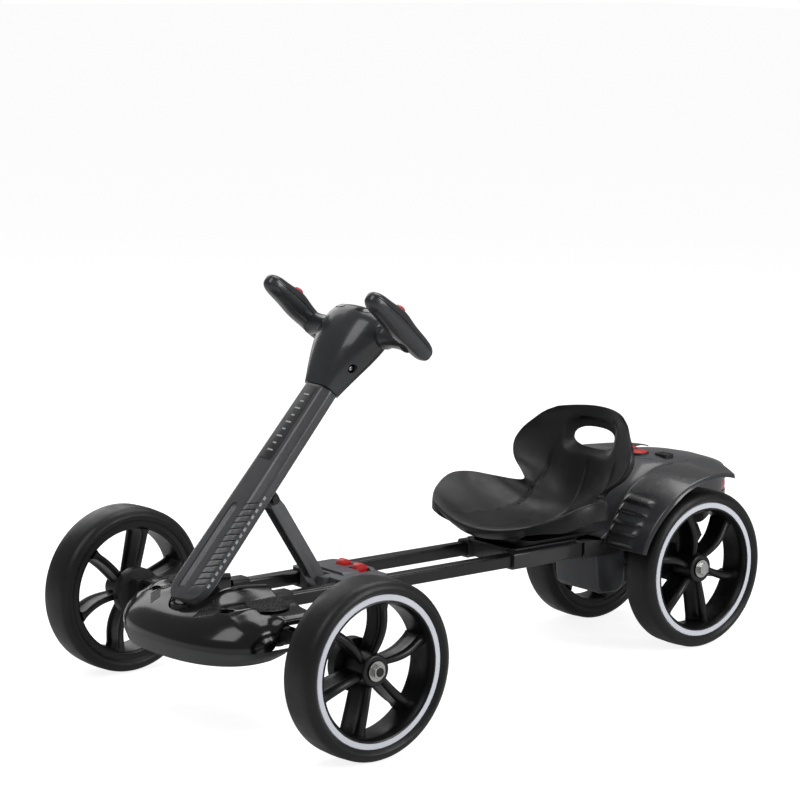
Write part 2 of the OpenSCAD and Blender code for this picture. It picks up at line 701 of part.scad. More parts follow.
module seat() color("#1c1c1d") in_kart() difference() {
    union() {
        seat_sheet();
        translate([-46, 450, 169]) cube([92, 110, 17]);
    }
    // Handle slot in the back
    translate([0, 0, 298]) along_y(560, 700) rounded(84, 30, 14.9);
}

// Sleeves on the rails and the plate that the seat is bolted to
module seat_bracket() color("#4b4c50") in_kart() difference() {
    union() {
        for (sx = [-1, 1]) translate([sx * rail_x, 0, rail_z]) along_y(428, 556) rounded(rail_w + 8, rail_h + 6, 5);
        along_z(164, 169) translate([0, 496]) rounded(104, 124, 8);
        along_z(145, 169) translate([0, 436]) square([78, 8], center = true);
    }
    for (sx = [-1, 1]) translate([sx * rail_x, 0, rail_z]) along_y(400, 600) rail_section();
}

// Steel cradle of the rear axle, the gearmotors and the battery
module rear_frame() color("#202124") in_kart() difference() {
    union() {
        for (sx = [-1, 1]) along_x(sx > 0 ? frame_plate_x - 3 : -frame_plate_x, sx > 0 ? frame_plate_x : 3 - frame_plate_x)
            polygon([[562, 145], [562, 164], [790, 164], [800, 145], [760, 98], [704, 98], [660, 140]]);
        along_z(140, 144) translate([0, 676]) square([2 * frame_plate_x - 6, 228], center = true);
        along_z(98, 101) translate([0, 732]) square([2 * frame_plate_x - 6, 52], center = true);
    }
    pin_x(-70, 70, wheelbase, wheel_z, axle_r);
    pin_x(-frame_plate_x - 1, frame_plate_x + 1, 690, 126, 17.6);
    // Room for the motors, which lie across the cradle
    along_z(130, 150) translate([0, 690]) square([2 * frame_plate_x - 12, 44], center = true);
}

module control_box() color("#3d3e42") in_kart() difference() {
    along_x(-44, 44) polygon(concat(
        [[598, 140], [604, 90]], arc(618, 92, 14, 14, 200, 270, 5), arc(642, 96, 18, 18, 270, 360, 6), [[660, 140]]));
    along_x(-41, 41) polygon([[602, 138], [609, 86], [612, 82], [640, 82], [652, 94], [656, 110], [656, 138]]);
}

module battery() color("#2f3033") in_kart() along_z(144, 204) translate([0, 678]) rounded(72, 74, 3);

module gearmotor(side) color("#36373a") in_kart() mirrored(side) difference() {
    union() {
        along_x(frame_plate_x, rear_half - tyre_w / 2 - 1.2) hull() {
            translate([wheelbase, wheel_z]) circle(28);
            translate([690, 126]) circle(24);
        }
        pin_x(8, frame_plate_x, 690, 126, 0.1 + 17.4);
    }
    pin_x(0, 100, wheelbase, wheel_z, axle_r);
}

module left_gearmotor() gearmotor(1);
module right_gearmotor() gearmotor(-1);

// Plan outline of the deck, drawn in by inset
function deck_plan(inset) = concat(
    [[deck_half_w - inset, 560]],
    arc(0, deck_tail_mid_y, deck_half_w - inset, tail_y - deck_tail_mid_y - inset, 0, 180, 24),
    [[-deck_half_w + inset, 560]]);

// Top line of the deck in (y, z), lowered by inset
function deck_top(inset) = [[592 + inset, 165], [612 + inset, 186 - inset], [640, 222 - inset], [668, 248 - inset],
    [696, 262 - inset], [724, 268 - inset], [770, 267 - inset], [815, 261 - inset], [850, 251 - inset],
    [872 - inset / 2, 238 - inset], [tail_y + 1 - inset, 226 - inset]];

module deck_block(inset, bottom) intersection() {
    along_z(bottom, 290) polygon(deck_plan(inset));
    along_x(-80, 80) polygon(concat([[tail_y + 1 - inset, bottom], [592 + inset, bottom]], deck_top(inset)));
}

// Plan outline of the lid, with an arched front edge
module lid_plan(grow = 0) intersection() {
    polygon(deck_plan(6 - grow));
    translate([0, 790]) scale([1, 1]) circle(92 + grow, $fn = 96);
}

module rear_shell() color("#45464a") in_kart() difference() {
    deck_block(0, 166);
    deck_block(cover_wall, 165);
    along_z(166, 300) lid_plan(0.4);
    // Rebate of the reflector
    along_z(206, 222) difference() {
        translate([-80, 845]) square([160, 60]);
        polygon(deck_plan(2.5));
    }
    // Behind the rear wheels the shell is cut away under the tail
    along_x(-80, 80) polygon([[790, 160], [895, 160], [895, 200], [840, 192]]);
}

module deck_lid() color("#4a4b4f") in_kart() difference() {
    intersection() {
        deck_block(0, 166);
        along_z(166, 300) lid_plan();
    }
    deck_block(cover_wall, 100);
    pin_z(200, 300, 0, 722, 14.5);
    pin_z(200, 300, -34, 740, 9.5);
    along_z(200, 300) translate([36, 740]) rounded(26, 20, 6);
}

module tail_reflector() color("#c3262b") in_kart() along_z(206.3, 221.7) difference() {
    polygon(deck_plan(0));
    polygon(deck_plan(2.5));
    translate([-90, 500]) square([180, 347]);
}

// Curved mudguard, turned round the axle
module fender(side) color("#45464a") in_kart() mirrored(side) translate([0, wheelbase, wheel_z])
    rotate([0, 90, 0]) rotate([0, 0, 160]) rotate_extrude(angle = 92, $fn = 96) polygon([
        [fender_r - fender_wall, deck_half_w + 0.5], [fender_r, deck_half_w + 0.5], [fender_r, 138],
        [fender_r - 4, 144], [fender_r - 8, 146], [fender_r - 12, 146], [fender_r - 12, 143],
        [fender_r - 8, 142.5], [fender_r - 5, 140], [fender_r - fender_wall, 136]]);

module left_fender() fender(1);
module right_fender() fender(-1);

module charge_socket() color("#101011") in_kart() difference() {
    along_z(250, 270) translate([36, 740]) rounded(25.4, 19.4, 5.7);
    for (p = [[29, 744], [43, 744], [36, 735]]) pin_z(262, 275, p[0], p[1], 2.2);
}

module power_button() color("#e0262c") in_kart() {
    pin_z(258, 271, 0, 722, 14);
    translate([0, 722, 271]) cylinder(r1 = 14, r2 = 12, h = 1.6);
}

module mode_button() color("#e0262c") in_kart() {
    pin_z(258, 270, -34, 740, 9);
    translate([-34, 740, 270]) cylinder(r1 = 9, r2 = 7.5, h = 1.4);
}

rails();
front_crossmember();
front_fairing();
front_lip();
footrest_pads();
rail_collars();
pivot_pins();
seat();
seat_bracket();
rear_frame();
rear_shell();
left_fender();
right_fender();
deck_lid();
tail_reflector();
control_box();
battery();
left_gearmotor();
right_gearmotor();
charge_socket();
rear_axle();
rear_hub_nuts();
column_cover_front();
column_cover_rear();
column_tube();
strut_pivot_bolt();
head_shell_front();
head_shell_rear();
steering_shaft();
handlebar_tube();
left_grip();
right_grip();
left_thumb_button();
right_thumb_button();
strut();
slider_block();
left_latch();
right_latch();
left_arm();
right_arm();
left_kingpin();
right_kingpin();
left_knuckle();
right_knuckle();
left_tie_rod();
right_tie_rod();
relay_rod();
pitman_arm();
left_hub_nut();
right_hub_nut();
front_left_tyre();
front_right_tyre();
rear_left_tyre();
rear_right_tyre();
front_left_rim();
front_right_rim();
rear_left_rim();
rear_right_rim();
power_button();
mode_button();
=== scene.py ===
"""Folding ride-on kart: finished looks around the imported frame.

Every length is in metres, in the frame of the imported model: the front faces -Y, the driver's
left is +X and the floor is z = 0.
"""

from __future__ import annotations

import json
import logging
import math
from dataclasses import dataclass, field
from enum import Enum
from typing import Callable, Iterable, Sequence

import bpy
from mathutils import Matrix, Vector

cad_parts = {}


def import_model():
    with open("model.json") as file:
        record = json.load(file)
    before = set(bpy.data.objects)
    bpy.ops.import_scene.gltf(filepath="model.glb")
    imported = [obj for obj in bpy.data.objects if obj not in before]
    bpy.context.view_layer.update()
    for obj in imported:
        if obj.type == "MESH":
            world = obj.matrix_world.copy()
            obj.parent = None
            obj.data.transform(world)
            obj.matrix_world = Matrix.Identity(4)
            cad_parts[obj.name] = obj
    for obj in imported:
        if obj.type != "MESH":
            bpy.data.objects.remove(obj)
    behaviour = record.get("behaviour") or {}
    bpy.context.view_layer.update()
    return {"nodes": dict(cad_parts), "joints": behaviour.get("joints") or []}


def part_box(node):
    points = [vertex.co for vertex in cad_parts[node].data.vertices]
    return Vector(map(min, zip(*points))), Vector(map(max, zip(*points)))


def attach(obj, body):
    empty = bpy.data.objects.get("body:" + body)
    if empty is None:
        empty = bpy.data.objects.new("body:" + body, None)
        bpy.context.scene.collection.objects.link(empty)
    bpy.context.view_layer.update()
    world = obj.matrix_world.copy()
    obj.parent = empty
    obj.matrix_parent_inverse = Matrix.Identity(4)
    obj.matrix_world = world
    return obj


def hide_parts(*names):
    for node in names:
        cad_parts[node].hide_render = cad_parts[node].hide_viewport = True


LOG = logging.getLogger("kart")
Outline = list[tuple[float, float]]
Shape = Callable[[float, float], Vector]


class Side(Enum):
    """Side of the kart, as the sign of X."""

    LEFT = 1
    RIGHT = -1

    @property
    def word(self) -> str:
        """Returns the side's name as the frame's nodes spell it."""
        return self.name.lower()


class Grain(Enum):
    """Surface relief that a finish carries."""

    SMOOTH = "smooth"
    FINE = "fine"
    LEATHER = "leather"
    BRUSHED = "brushed"
    RUBBER = "rubber"


# ---------------------------------------------------------------- maths


def arc(centre: tuple[float, float], radii: tuple[float, float], start: float, end: float,
        steps: int) -> Outline:
    """Points of an elliptical arc.

    Args:
        centre: middle of the ellipse.
        radii: its two half axes.
        start: first angle in degrees.
        end: last angle in degrees.
        steps: number of segments.

    Returns:
        The arc's points in order.
    """
    turns = [math.radians(start + (end - start) * i / steps) for i in range(steps + 1)]
    return [(centre[0] + radii[0] * math.cos(t), centre[1] + radii[1] * math.sin(t)) for t in turns]


def racetrack(width: float, height: float, radius: float, steps: int = 6) -> Outline:
    """Rectangle with round corners about the origin.

    Args:
        width: size along the first axis.
        height: size along the second axis.
        radius: corner radius.
        steps: segments in each corner.

    Returns:
        The outline's points.
    """
    w, h = width / 2 - radius, height / 2 - radius
    corners = [((w, h), 0), ((-w, h), 90), ((-w, -h), 180), ((w, -h), 270)]
    return [p for c, a in corners for p in arc(c, (radius, radius), a, a + 90, steps)]


def smooth(low: float, high: float, value: float) -> float:
    """Soft step from 0 at low to 1 at high."""
    t = min(max((value - low) / (high - low), 0.0), 1.0)
    return t * t * (3 - 2 * t)


def spline(rows: Sequence[Sequence[float]], key: float, column: int) -> float:
    """Value of a column of a table at a key, along a smooth curve through its rows.

    Args:
        rows: table rows, with the key first and rising.
        key: where to read.
        column: which column to read.

    Returns:
        The value there.
    """
    k = min(max(key, rows[0][0]), rows[-1][0])
    i = max(j for j in range(len(rows) - 1) if rows[j][0] <= k)
    a, b = rows[i], rows[i + 1]
    before, after = rows[max(i - 1, 0)], rows[min(i + 2, len(rows) - 1)]
    span = b[0] - a[0]
    t = (k - a[0]) / span
    m0 = (b[column] - before[column]) / (b[0] - before[0]) * span
    m1 = (after[column] - a[column]) / (after[0] - a[0]) * span
    t2, t3 = t * t, t * t * t
    return ((2 * t3 - 3 * t2 + 1) * a[column] + (t3 - 2 * t2 + t) * m0
            + (3 * t2 - 2 * t3) * b[column] + (t3 - t2) * m1)


def superellipse(turn: float, a: float, b: float, power: float) -> tuple[float, float]:
    """Point of a superellipse.

    Args:
        turn: angle in radians.
        a: half axis along the first direction.
        b: half axis along the second direction.
        power: 2 gives an ellipse, more gives a squarer shape.

    Returns:
        The point.
    """
    c, s = math.cos(turn), math.sin(turn)
    return (a * math.copysign(abs(c) ** (2 / power), c), b * math.copysign(abs(s) ** (2 / power), s))


# ---------------------------------------------------------------- finishes


@dataclass(frozen=True)
class Finish:
    """One surface finish, made as a procedural material on Object coordinates."""

    name: str
    colour: tuple[float, float, float]
    roughness: float
    metallic: float = 0.0
    coat: float = 0.0
    grain: Grain = Grain.SMOOTH
    grain_size: float = 900.0
    relief: float = 0.06
    drift: float = 0.12
    sheen: float = 0.0
    transmission: float = 0.0
    scuff: float = 0.0
    specular: float = 0.5

    def material(self) -> bpy.types.Material:
        """Returns the finish's material, made on first use."""
        made = bpy.data.materials.get(f"{self.name}_finish")
        if made:
            return made
        made = bpy.data.materials.new(f"{self.name}_finish")
        made.use_nodes = True
        made.diffuse_color = (*self.colour, 1)
        tree = made.node_tree
        shader = tree.nodes["Principled BSDF"]
        shader.inputs["Metallic"].default_value = self.metallic
        shader.inputs["Coat Weight"].default_value = self.coat
        shader.inputs["Coat Roughness"].default_value = 0.11
        shader.inputs["Specular IOR Level"].default_value = self.specular
        shader.inputs["Sheen Weight"].default_value = self.sheen
        shader.inputs["Transmission Weight"].default_value = self.transmission
        place = self._place(tree)
        self._tint(tree, shader, place)
        self._shine(tree, shader, place)
        self._bump(tree, shader, place)
        return made

    def _place(self, tree: bpy.types.NodeTree) -> bpy.types.NodeSocket:
        """Returns the socket with the place on the piece that every pattern reads."""
        where = tree.nodes.new("ShaderNodeTexCoord")
        mapping = tree.nodes.new("ShaderNodeMapping")
        if self.grain is Grain.BRUSHED:
            mapping.inputs["Scale"].default_value = (0.08, 1.0, 1.0)
        tree.links.new(where.outputs["Object"], mapping.inputs["Vector"])
        return mapping.outputs["Vector"]

    def _noise(self, tree: bpy.types.NodeTree, place: bpy.types.NodeSocket, scale: float,
               detail: float) -> bpy.types.NodeSocket:
        """Adds a noise pattern.

        Args:
            tree: the material's nodes.
            place: socket with the place on the piece.
            scale: cells to the metre.
            detail: number of finer layers.

        Returns:
            The pattern's value.
        """
        noise = tree.nodes.new("ShaderNodeTexNoise")
        noise.inputs["Scale"].default_value = scale
        noise.inputs["Detail"].default_value = detail
        tree.links.new(place, noise.inputs["Vector"])
        return noise.outputs["Fac"]

    def _tint(self, tree: bpy.types.NodeTree, shader: bpy.types.Node, place: bpy.types.NodeSocket) -> None:
        """Drifts the colour gently over the surface, with paler scuffs where the finish has them."""
        ramp = tree.nodes.new("ShaderNodeValToRGB")
        low, high = 1 - self.drift, 1 + self.drift
        ramp.color_ramp.elements[0].position = 0.3
        ramp.color_ramp.elements[1].position = 0.7
        ramp.color_ramp.elements[0].color = (*(c * low for c in self.colour), 1)
        ramp.color_ramp.elements[1].color = (*(c * high for c in self.colour), 1)
        tree.links.new(self._noise(tree, place, 22, 5), ramp.inputs["Fac"])
        if not self.scuff:
            tree.links.new(ramp.outputs["Color"], shader.inputs["Base Color"])
            return
        marks = tree.nodes.new("ShaderNodeMapRange")
        marks.inputs["From Min"].default_value = 0.62
        marks.inputs["From Max"].default_value = 0.78
        marks.inputs["To Max"].default_value = self.scuff
        tree.links.new(self._noise(tree, place, 140, 9), marks.inputs["Value"])
        mix = tree.nodes.new("ShaderNodeMix")
        mix.data_type = "RGBA"
        mix.inputs["B"].default_value = (*(c * 1.7 + 0.02 for c in self.colour), 1)
        tree.links.new(marks.outputs["Result"], mix.inputs["Factor"])
        tree.links.new(ramp.outputs["Color"], mix.inputs["A"])
        tree.links.new(mix.outputs["Result"], shader.inputs["Base Color"])

    def _shine(self, tree: bpy.types.NodeTree, shader: bpy.types.Node, place: bpy.types.NodeSocket) -> None:
        """Varies the roughness, as handling and moulding leave it."""
        spread = tree.nodes.new("ShaderNodeMapRange")
        spread.inputs["From Min"].default_value = 0.3
        spread.inputs["From Max"].default_value = 0.7
        spread.inputs["To Min"].default_value = self.roughness * 0.82
        spread.inputs["To Max"].default_value = min(self.roughness * 1.2, 1.0)
        tree.links.new(self._noise(tree, place, 60, 6), spread.inputs["Value"])
        tree.links.new(spread.outputs["Result"], shader.inputs["Roughness"])

    def _bump(self, tree: bpy.types.NodeTree, shader: bpy.types.Node, place: bpy.types.NodeSocket) -> None:
        """Adds the grain as a bump."""
        bump = tree.nodes.new("ShaderNodeBump")
        bump.inputs["Strength"].default_value = self.relief
        bump.inputs["Distance"].default_value = 0.0006
        if self.grain is Grain.LEATHER:
            cells = tree.nodes.new("ShaderNodeTexVoronoi")
            cells.inputs["Scale"].default_value = self.grain_size
            tree.links.new(place, cells.inputs["Vector"])
            height = cells.outputs["Distance"]
        elif self.grain is Grain.SMOOTH:
            height = self._noise(tree, place, 180, 2)
        else:
            height = self._noise(tree, place, self.grain_size, 4)
        tree.links.new(height, bump.inputs["Height"])
        tree.links.new(bump.outputs["Normal"], shader.inputs["Normal"])


COVER_GREY = Finish("cover_grey", (0.072, 0.073, 0.078), 0.3, coat=0.3, relief=0.03)
# The covers' grey made darker for the mudguards: painted shade, since the mudguards are the same plastic as
# the covers.
GUARD_SHADED_GREY = Finish("guard_shaded_grey", (0.042, 0.043, 0.046), 0.26, coat=0.4, relief=0.03)
HEAD_GREY = Finish("head_grey", (0.04, 0.0415, 0.045), 0.26, coat=0.4, metallic=0.2, relief=0.03)
PANEL_GREY = Finish("panel_grey", (0.028, 0.029, 0.031), 0.38, grain=Grain.FINE)
PIANO_BLACK = Finish("piano_black", (0.0035, 0.0035, 0.0038), 0.17, relief=0.0, coat=0.4, drift=0.05)
LIP_GREY = Finish("lip_grey", (0.06, 0.061, 0.064), 0.36)
INLAY_GREY = Finish("inlay_grey", (0.16, 0.161, 0.168), 0.4, grain=Grain.FINE, relief=0.05)
SEAT_BLACK = Finish("seat_black", (0.0058, 0.006, 0.0065), 0.39, grain=Grain.LEATHER, grain_size=1500,
                    relief=0.14, scuff=0.1, specular=0.42)
PAD_BLACK = Finish("pad_black", (0.009, 0.009, 0.0095), 0.45, grain=Grain.FINE, grain_size=1600, relief=0.12)
TYRE_BLACK = Finish("tyre_black", (0.0105, 0.0105, 0.0108), 0.39, grain=Grain.RUBBER, grain_size=1900,
                    relief=0.16, scuff=0.1, specular=0.38)
RING_PALE = Finish("ring_pale", (0.86, 0.88, 0.96), 0.35, grain=Grain.FINE, grain_size=1300, relief=0.05,
                   drift=0.03)
RIM_BLACK = Finish("rim_black", (0.006, 0.006, 0.0063), 0.33, grain=Grain.FINE, grain_size=1700, relief=0.08,
                   specular=0.42)
RAIL_BLACK = Finish("rail_black", (0.007, 0.007, 0.0075), 0.3, grain=Grain.FINE, relief=0.1, scuff=0.12)
FRAME_BLACK = Finish("frame_black", (0.011, 0.011, 0.0115), 0.42, metallic=0.1, grain=Grain.FINE, relief=0.15,
                     scuff=0.15)
MATT_BLACK = Finish("matt_black", (0.012, 0.012, 0.013), 0.46, grain=Grain.FINE, grain_size=1500, relief=0.12,
                    scuff=0.1, specular=0.42)
BRACKET_GREY = Finish("bracket_grey", (0.027, 0.0275, 0.03), 0.3, coat=0.3)
BOX_GREY = Finish("box_grey", (0.055, 0.057, 0.063), 0.36, grain=Grain.FINE, relief=0.06)
STRUT_GREY = Finish("strut_grey", (0.12, 0.122, 0.129), 0.38, metallic=0.1, grain=Grain.FINE, relief=0.06,
                    scuff=0.1)
SLIDER_GREY = Finish("slider_grey", (0.105, 0.107, 0.114), 0.4, grain=Grain.FINE, relief=0.08)
SIGNAL_RED = Finish("signal_red", (0.68, 0.012, 0.014), 0.34, coat=0.3, drift=0.06, grain=Grain.FINE,
                    relief=0.04)
REFLECTOR_RED = Finish("reflector_red", (0.42, 0.008, 0.012), 0.18, coat=0.6, drift=0.1, transmission=0.2)
BRIGHT_STEEL = Finish("bright_steel", (0.5, 0.5, 0.49), 0.28, metallic=1.0, grain=Grain.BRUSHED,
                      grain_size=2600,
                      relief=0.12, drift=0.06)
ZINC_STEEL = Finish("zinc_steel", (0.34, 0.34, 0.35), 0.38, metallic=1.0, grain=Grain.BRUSHED,
                    grain_size=1800,
                    relief=0.16, drift=0.1)
PRINT_WHITE = Finish("print_white", (0.5, 0.51, 0.52), 0.45, grain=Grain.FINE, relief=0.05, drift=0.04)
# Dark glass for the head's windows and the grips' seams, and painted shade in the wells round the head's
# screws.
DARK_GLASS_AND_SHADE = Finish("dark_glass_and_shade", (0.004, 0.004, 0.005), 0.1, coat=0.6, relief=0.0)


# ---------------------------------------------------------------- bench


class Bench:
    """Modelling steps that every piece shares, each done with Blender's operators."""

    @staticmethod
    def clear() -> None:
        """Leaves edit mode and deselects everything."""
        if bpy.context.object and bpy.context.object.mode != "OBJECT":
            bpy.ops.object.mode_set(mode="OBJECT")
        bpy.ops.object.select_all(action="DESELECT")

    @staticmethod
    def pick(piece: bpy.types.Object) -> None:
        """Selects one piece alone and makes it active."""
        Bench.clear()
        piece.select_set(True)
        bpy.context.view_layer.objects.active = piece

    @staticmethod
    def edit(piece: bpy.types.Object) -> None:
        """Opens a piece in edit mode with all of it selected."""
        Bench.pick(piece)
        bpy.ops.object.mode_set(mode="EDIT")
        bpy.ops.mesh.select_all(action="SELECT")

    @staticmethod
    def close(piece: bpy.types.Object, outwards: bool = True, gap: float = 1e-6) -> bpy.types.Object:
        """Merges doubled points and turns the faces outwards.

        Args:
            piece: the piece to clean.
            outwards: whether its faces are turned outwards too.
            gap: largest distance between points that are merged.

        Returns:
            The piece.
        """
        Bench.edit(piece)
        bpy.ops.mesh.remove_doubles(threshold=gap)
        bpy.ops.mesh.dissolve_degenerate(threshold=gap)
        if outwards:
            bpy.ops.mesh.normals_make_consistent(inside=False)
        bpy.ops.object.mode_set(mode="OBJECT")
        return piece

    @staticmethod
    def named(name: str) -> bpy.types.Object:
        """Names the primitive just added and sets it at the origin.

        Args:
            name: the piece's name.

        Returns:
            The piece.
        """
        piece = bpy.context.object
        piece.name = name
        piece.data.name = name
        piece.matrix_world = Matrix.Identity(4)
        return piece

    @staticmethod
    def sheet(name: str, across: int, along: int, shape: Shape, close: bool = False) -> bpy.types.Object:
        """Grid whose points are moved onto a curved surface.

        Args:
            name: the piece's name.
            across: cells in the first direction.
            along: cells in the second direction.
            shape: place of a point from two numbers between 0 and 1.
            close: whether opposite edges are merged and the open ends filled.

        Returns:
            The piece.
        """
        Bench.clear()
        bpy.ops.mesh.primitive_grid_add(x_subdivisions=across, y_subdivisions=along, size=1)
        piece = Bench.named(name)
        for point in piece.data.vertices:
            point.co = shape(min(max(point.co.x + 0.5, 0.0), 1.0), min(max(point.co.y + 0.5, 0.0), 1.0))
        if not close:
            return piece
        Bench.edit(piece)
        bpy.ops.mesh.remove_doubles(threshold=1e-6)
        bpy.ops.mesh.select_all(action="DESELECT")
        bpy.ops.mesh.select_non_manifold()
        bpy.ops.mesh.fill_holes(sides=0)
        return Bench.close(piece)

    @staticmethod
    def slab(name: str, outline: Outline, depth: float,
             to: Callable[[float, float, float], Vector]) -> bpy.types.Object:
        """Flat plate cut to an outline and extruded.

        Args:
            name: the piece's name.
            outline: corners of the plate.
            depth: thickness, from 0 upwards in the plate's own frame.
            to: turns a point of the plate's own frame into the kart's frame.

        Returns:
            The piece.
        """
        Bench.clear()
        bpy.ops.mesh.primitive_circle_add(vertices=len(outline), fill_type="NGON")
        piece = Bench.named(name)
        for point, corner in zip(piece.data.vertices, outline):
            point.co = (corner[0], corner[1], 0)
        Bench.edit(piece)
        bpy.ops.mesh.extrude_region_move(TRANSFORM_OT_translate={"value": (0, 0, depth)})
        bpy.ops.object.mode_set(mode="OBJECT")
        for point in piece.data.vertices:
            point.co = to(*point.co)
        return Bench.close(piece, gap=1e-7)

    @staticmethod
    def lathe(name: str, outline: Outline, centre: Vector, steps: int = 96, side: int = 1,
              axis: Vector = Vector((1, 0, 0))) -> bpy.types.Object:
        """Closed section spun about an axis.

        Args:
            name: the piece's name.
            outline: section as (radius, distance along the axis).
            centre: a point of the axis.
            steps: steps of the whole turn.
            side: 1, or -1 for a mirror image along X.
            axis: direction of the axis.

        Returns:
            The piece.
        """
        Bench.clear()
        bpy.ops.mesh.primitive_circle_add(vertices=len(outline), fill_type="NOTHING")
        piece = Bench.named(name)
        out = axis.orthogonal().normalized()
        for point, (radius, height) in zip(piece.data.vertices, outline):
            point.co = centre + out * radius + axis * height * side
        Bench.edit(piece)
        bpy.ops.mesh.spin(steps=steps, angle=math.tau, center=centre, axis=axis)
        return Bench.close(piece, gap=2e-6)

    @staticmethod
    def modifier(piece: bpy.types.Object, kind: str, **values: object) -> bpy.types.Object:
        """Adds one modifier and applies it.

        Args:
            piece: the piece.
            kind: the modifier's type.
            values: its settings.

        Returns:
            The piece.
        """
        Bench.pick(piece)
        made = piece.modifiers.new(kind.title(), kind)
        for key, value in values.items():
            setattr(made, key, value)
        bpy.ops.object.modifier_apply(modifier=made.name)
        return piece

    @staticmethod
    def bevel(piece: bpy.types.Object, width: float, segments: int = 3,
              angle: float = 32) -> bpy.types.Object:
        """Rounds the edges sharper than an angle.

        Args:
            piece: the piece.
            width: width of the rounding.
            segments: steps of the rounding.
            angle: smallest angle between faces, in degrees, that is rounded.

        Returns:
            The piece.
        """
        return Bench.modifier(piece, "BEVEL", width=width, segments=segments, limit_method="ANGLE",
                              angle_limit=math.radians(angle), use_clamp_overlap=True,
                              miter_outer="MITER_ARC")

    @staticmethod
    def thicken(piece: bpy.types.Object, wall: float, offset: float = -1) -> bpy.types.Object:
        """Gives a sheet its wall.

        Args:
            piece: the sheet.
            wall: thickness.
            offset: -1 grows against the faces' normals, 1 along them.

        Returns:
            The piece.
        """
        return Bench.modifier(piece, "SOLIDIFY", thickness=wall, offset=offset, use_even_offset=True,
                              use_quality_normals=True, thickness_clamp=1.0)

    @staticmethod
    def cut(piece: bpy.types.Object, tools: Iterable[bpy.types.Object],
            keep: bool = False) -> bpy.types.Object:
        """Cuts a piece with closed tools, which are then deleted.

        Args:
            piece: the piece.
            tools: the cutting bodies.
            keep: whether only the part inside the tool is kept.

        Returns:
            The piece.
        """
        for tool in tools:
            Bench.modifier(piece, "BOOLEAN", object=tool, solver="EXACT",
                           operation="INTERSECT" if keep else "DIFFERENCE")
            bpy.data.objects.remove(tool, do_unlink=True)
        return piece

    @staticmethod
    def join(name: str, pieces: Sequence[bpy.types.Object]) -> bpy.types.Object:
        """Joins pieces into one object.

        Args:
            name: name of the joined piece.
            pieces: what is joined.

        Returns:
            The joined piece.
        """
        Bench.pick(pieces[0])
        for piece in pieces:
            piece.select_set(True)
        bpy.ops.object.join()
        pieces[0].name = name
        return pieces[0]

    @staticmethod
    def turned(piece: bpy.types.Object, name: str, matrix: Matrix) -> bpy.types.Object:
        """Copy of a piece with its own mesh, moved by a matrix that is applied to the mesh.

        Args:
            piece: what is copied.
            name: the copy's name.
            matrix: the move, which may mirror.

        Returns:
            The copy.
        """
        copy = piece.copy()
        copy.data = piece.data.copy()
        copy.name = name
        bpy.context.scene.collection.objects.link(copy)
        copy.data.transform(matrix)
        if matrix.determinant() < 0:
            copy.data.flip_normals()
        return copy

    @staticmethod
    def node_copy(name: str, node: str) -> bpy.types.Object:
        """Copy of a CAD node with its triangles merged into flat faces.

        Args:
            name: the copy's name.
            node: the node to copy.

        Returns:
            The copy, at the origin.
        """
        source = NODES[node]
        copy = bpy.data.objects.new(name, source.data.copy())
        bpy.context.scene.collection.objects.link(copy)
        Bench.close(copy, outwards=False, gap=1e-6)
        Bench.edit(copy)
        bpy.ops.mesh.customdata_custom_splitnormals_clear()
        bpy.ops.mesh.dissolve_limited(angle_limit=math.radians(1.0))
        bpy.ops.object.mode_set(mode="OBJECT")
        return copy

    @staticmethod
    def finish(piece: bpy.types.Object, finish: Finish, body: str, slot: str, *nodes: str,
               angle: float = 38) -> bpy.types.Object:
        """Shades a piece, gives it its finish and hangs it on its body.

        Args:
            piece: the piece.
            finish: its surface.
            body: the body that it rides on.
            slot: the record's material slot; not used.
            nodes: CAD nodes that it stands for.
            angle: edges sharper than this stay sharp, in degrees.

        Returns:
            The piece.
        """
        Bench.pick(piece)
        bpy.ops.object.shade_smooth_by_angle(angle=math.radians(angle))
        piece.data.materials.clear()
        piece.data.materials.append(finish.material())
        for face in piece.data.polygons:
            face.material_index = 0
        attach(piece, body)
        if nodes:
            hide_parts(*nodes)
        LOG.info("%s: %d faces", piece.name, len(piece.data.polygons))
        return piece


# ---------------------------------------------------------------- wheels


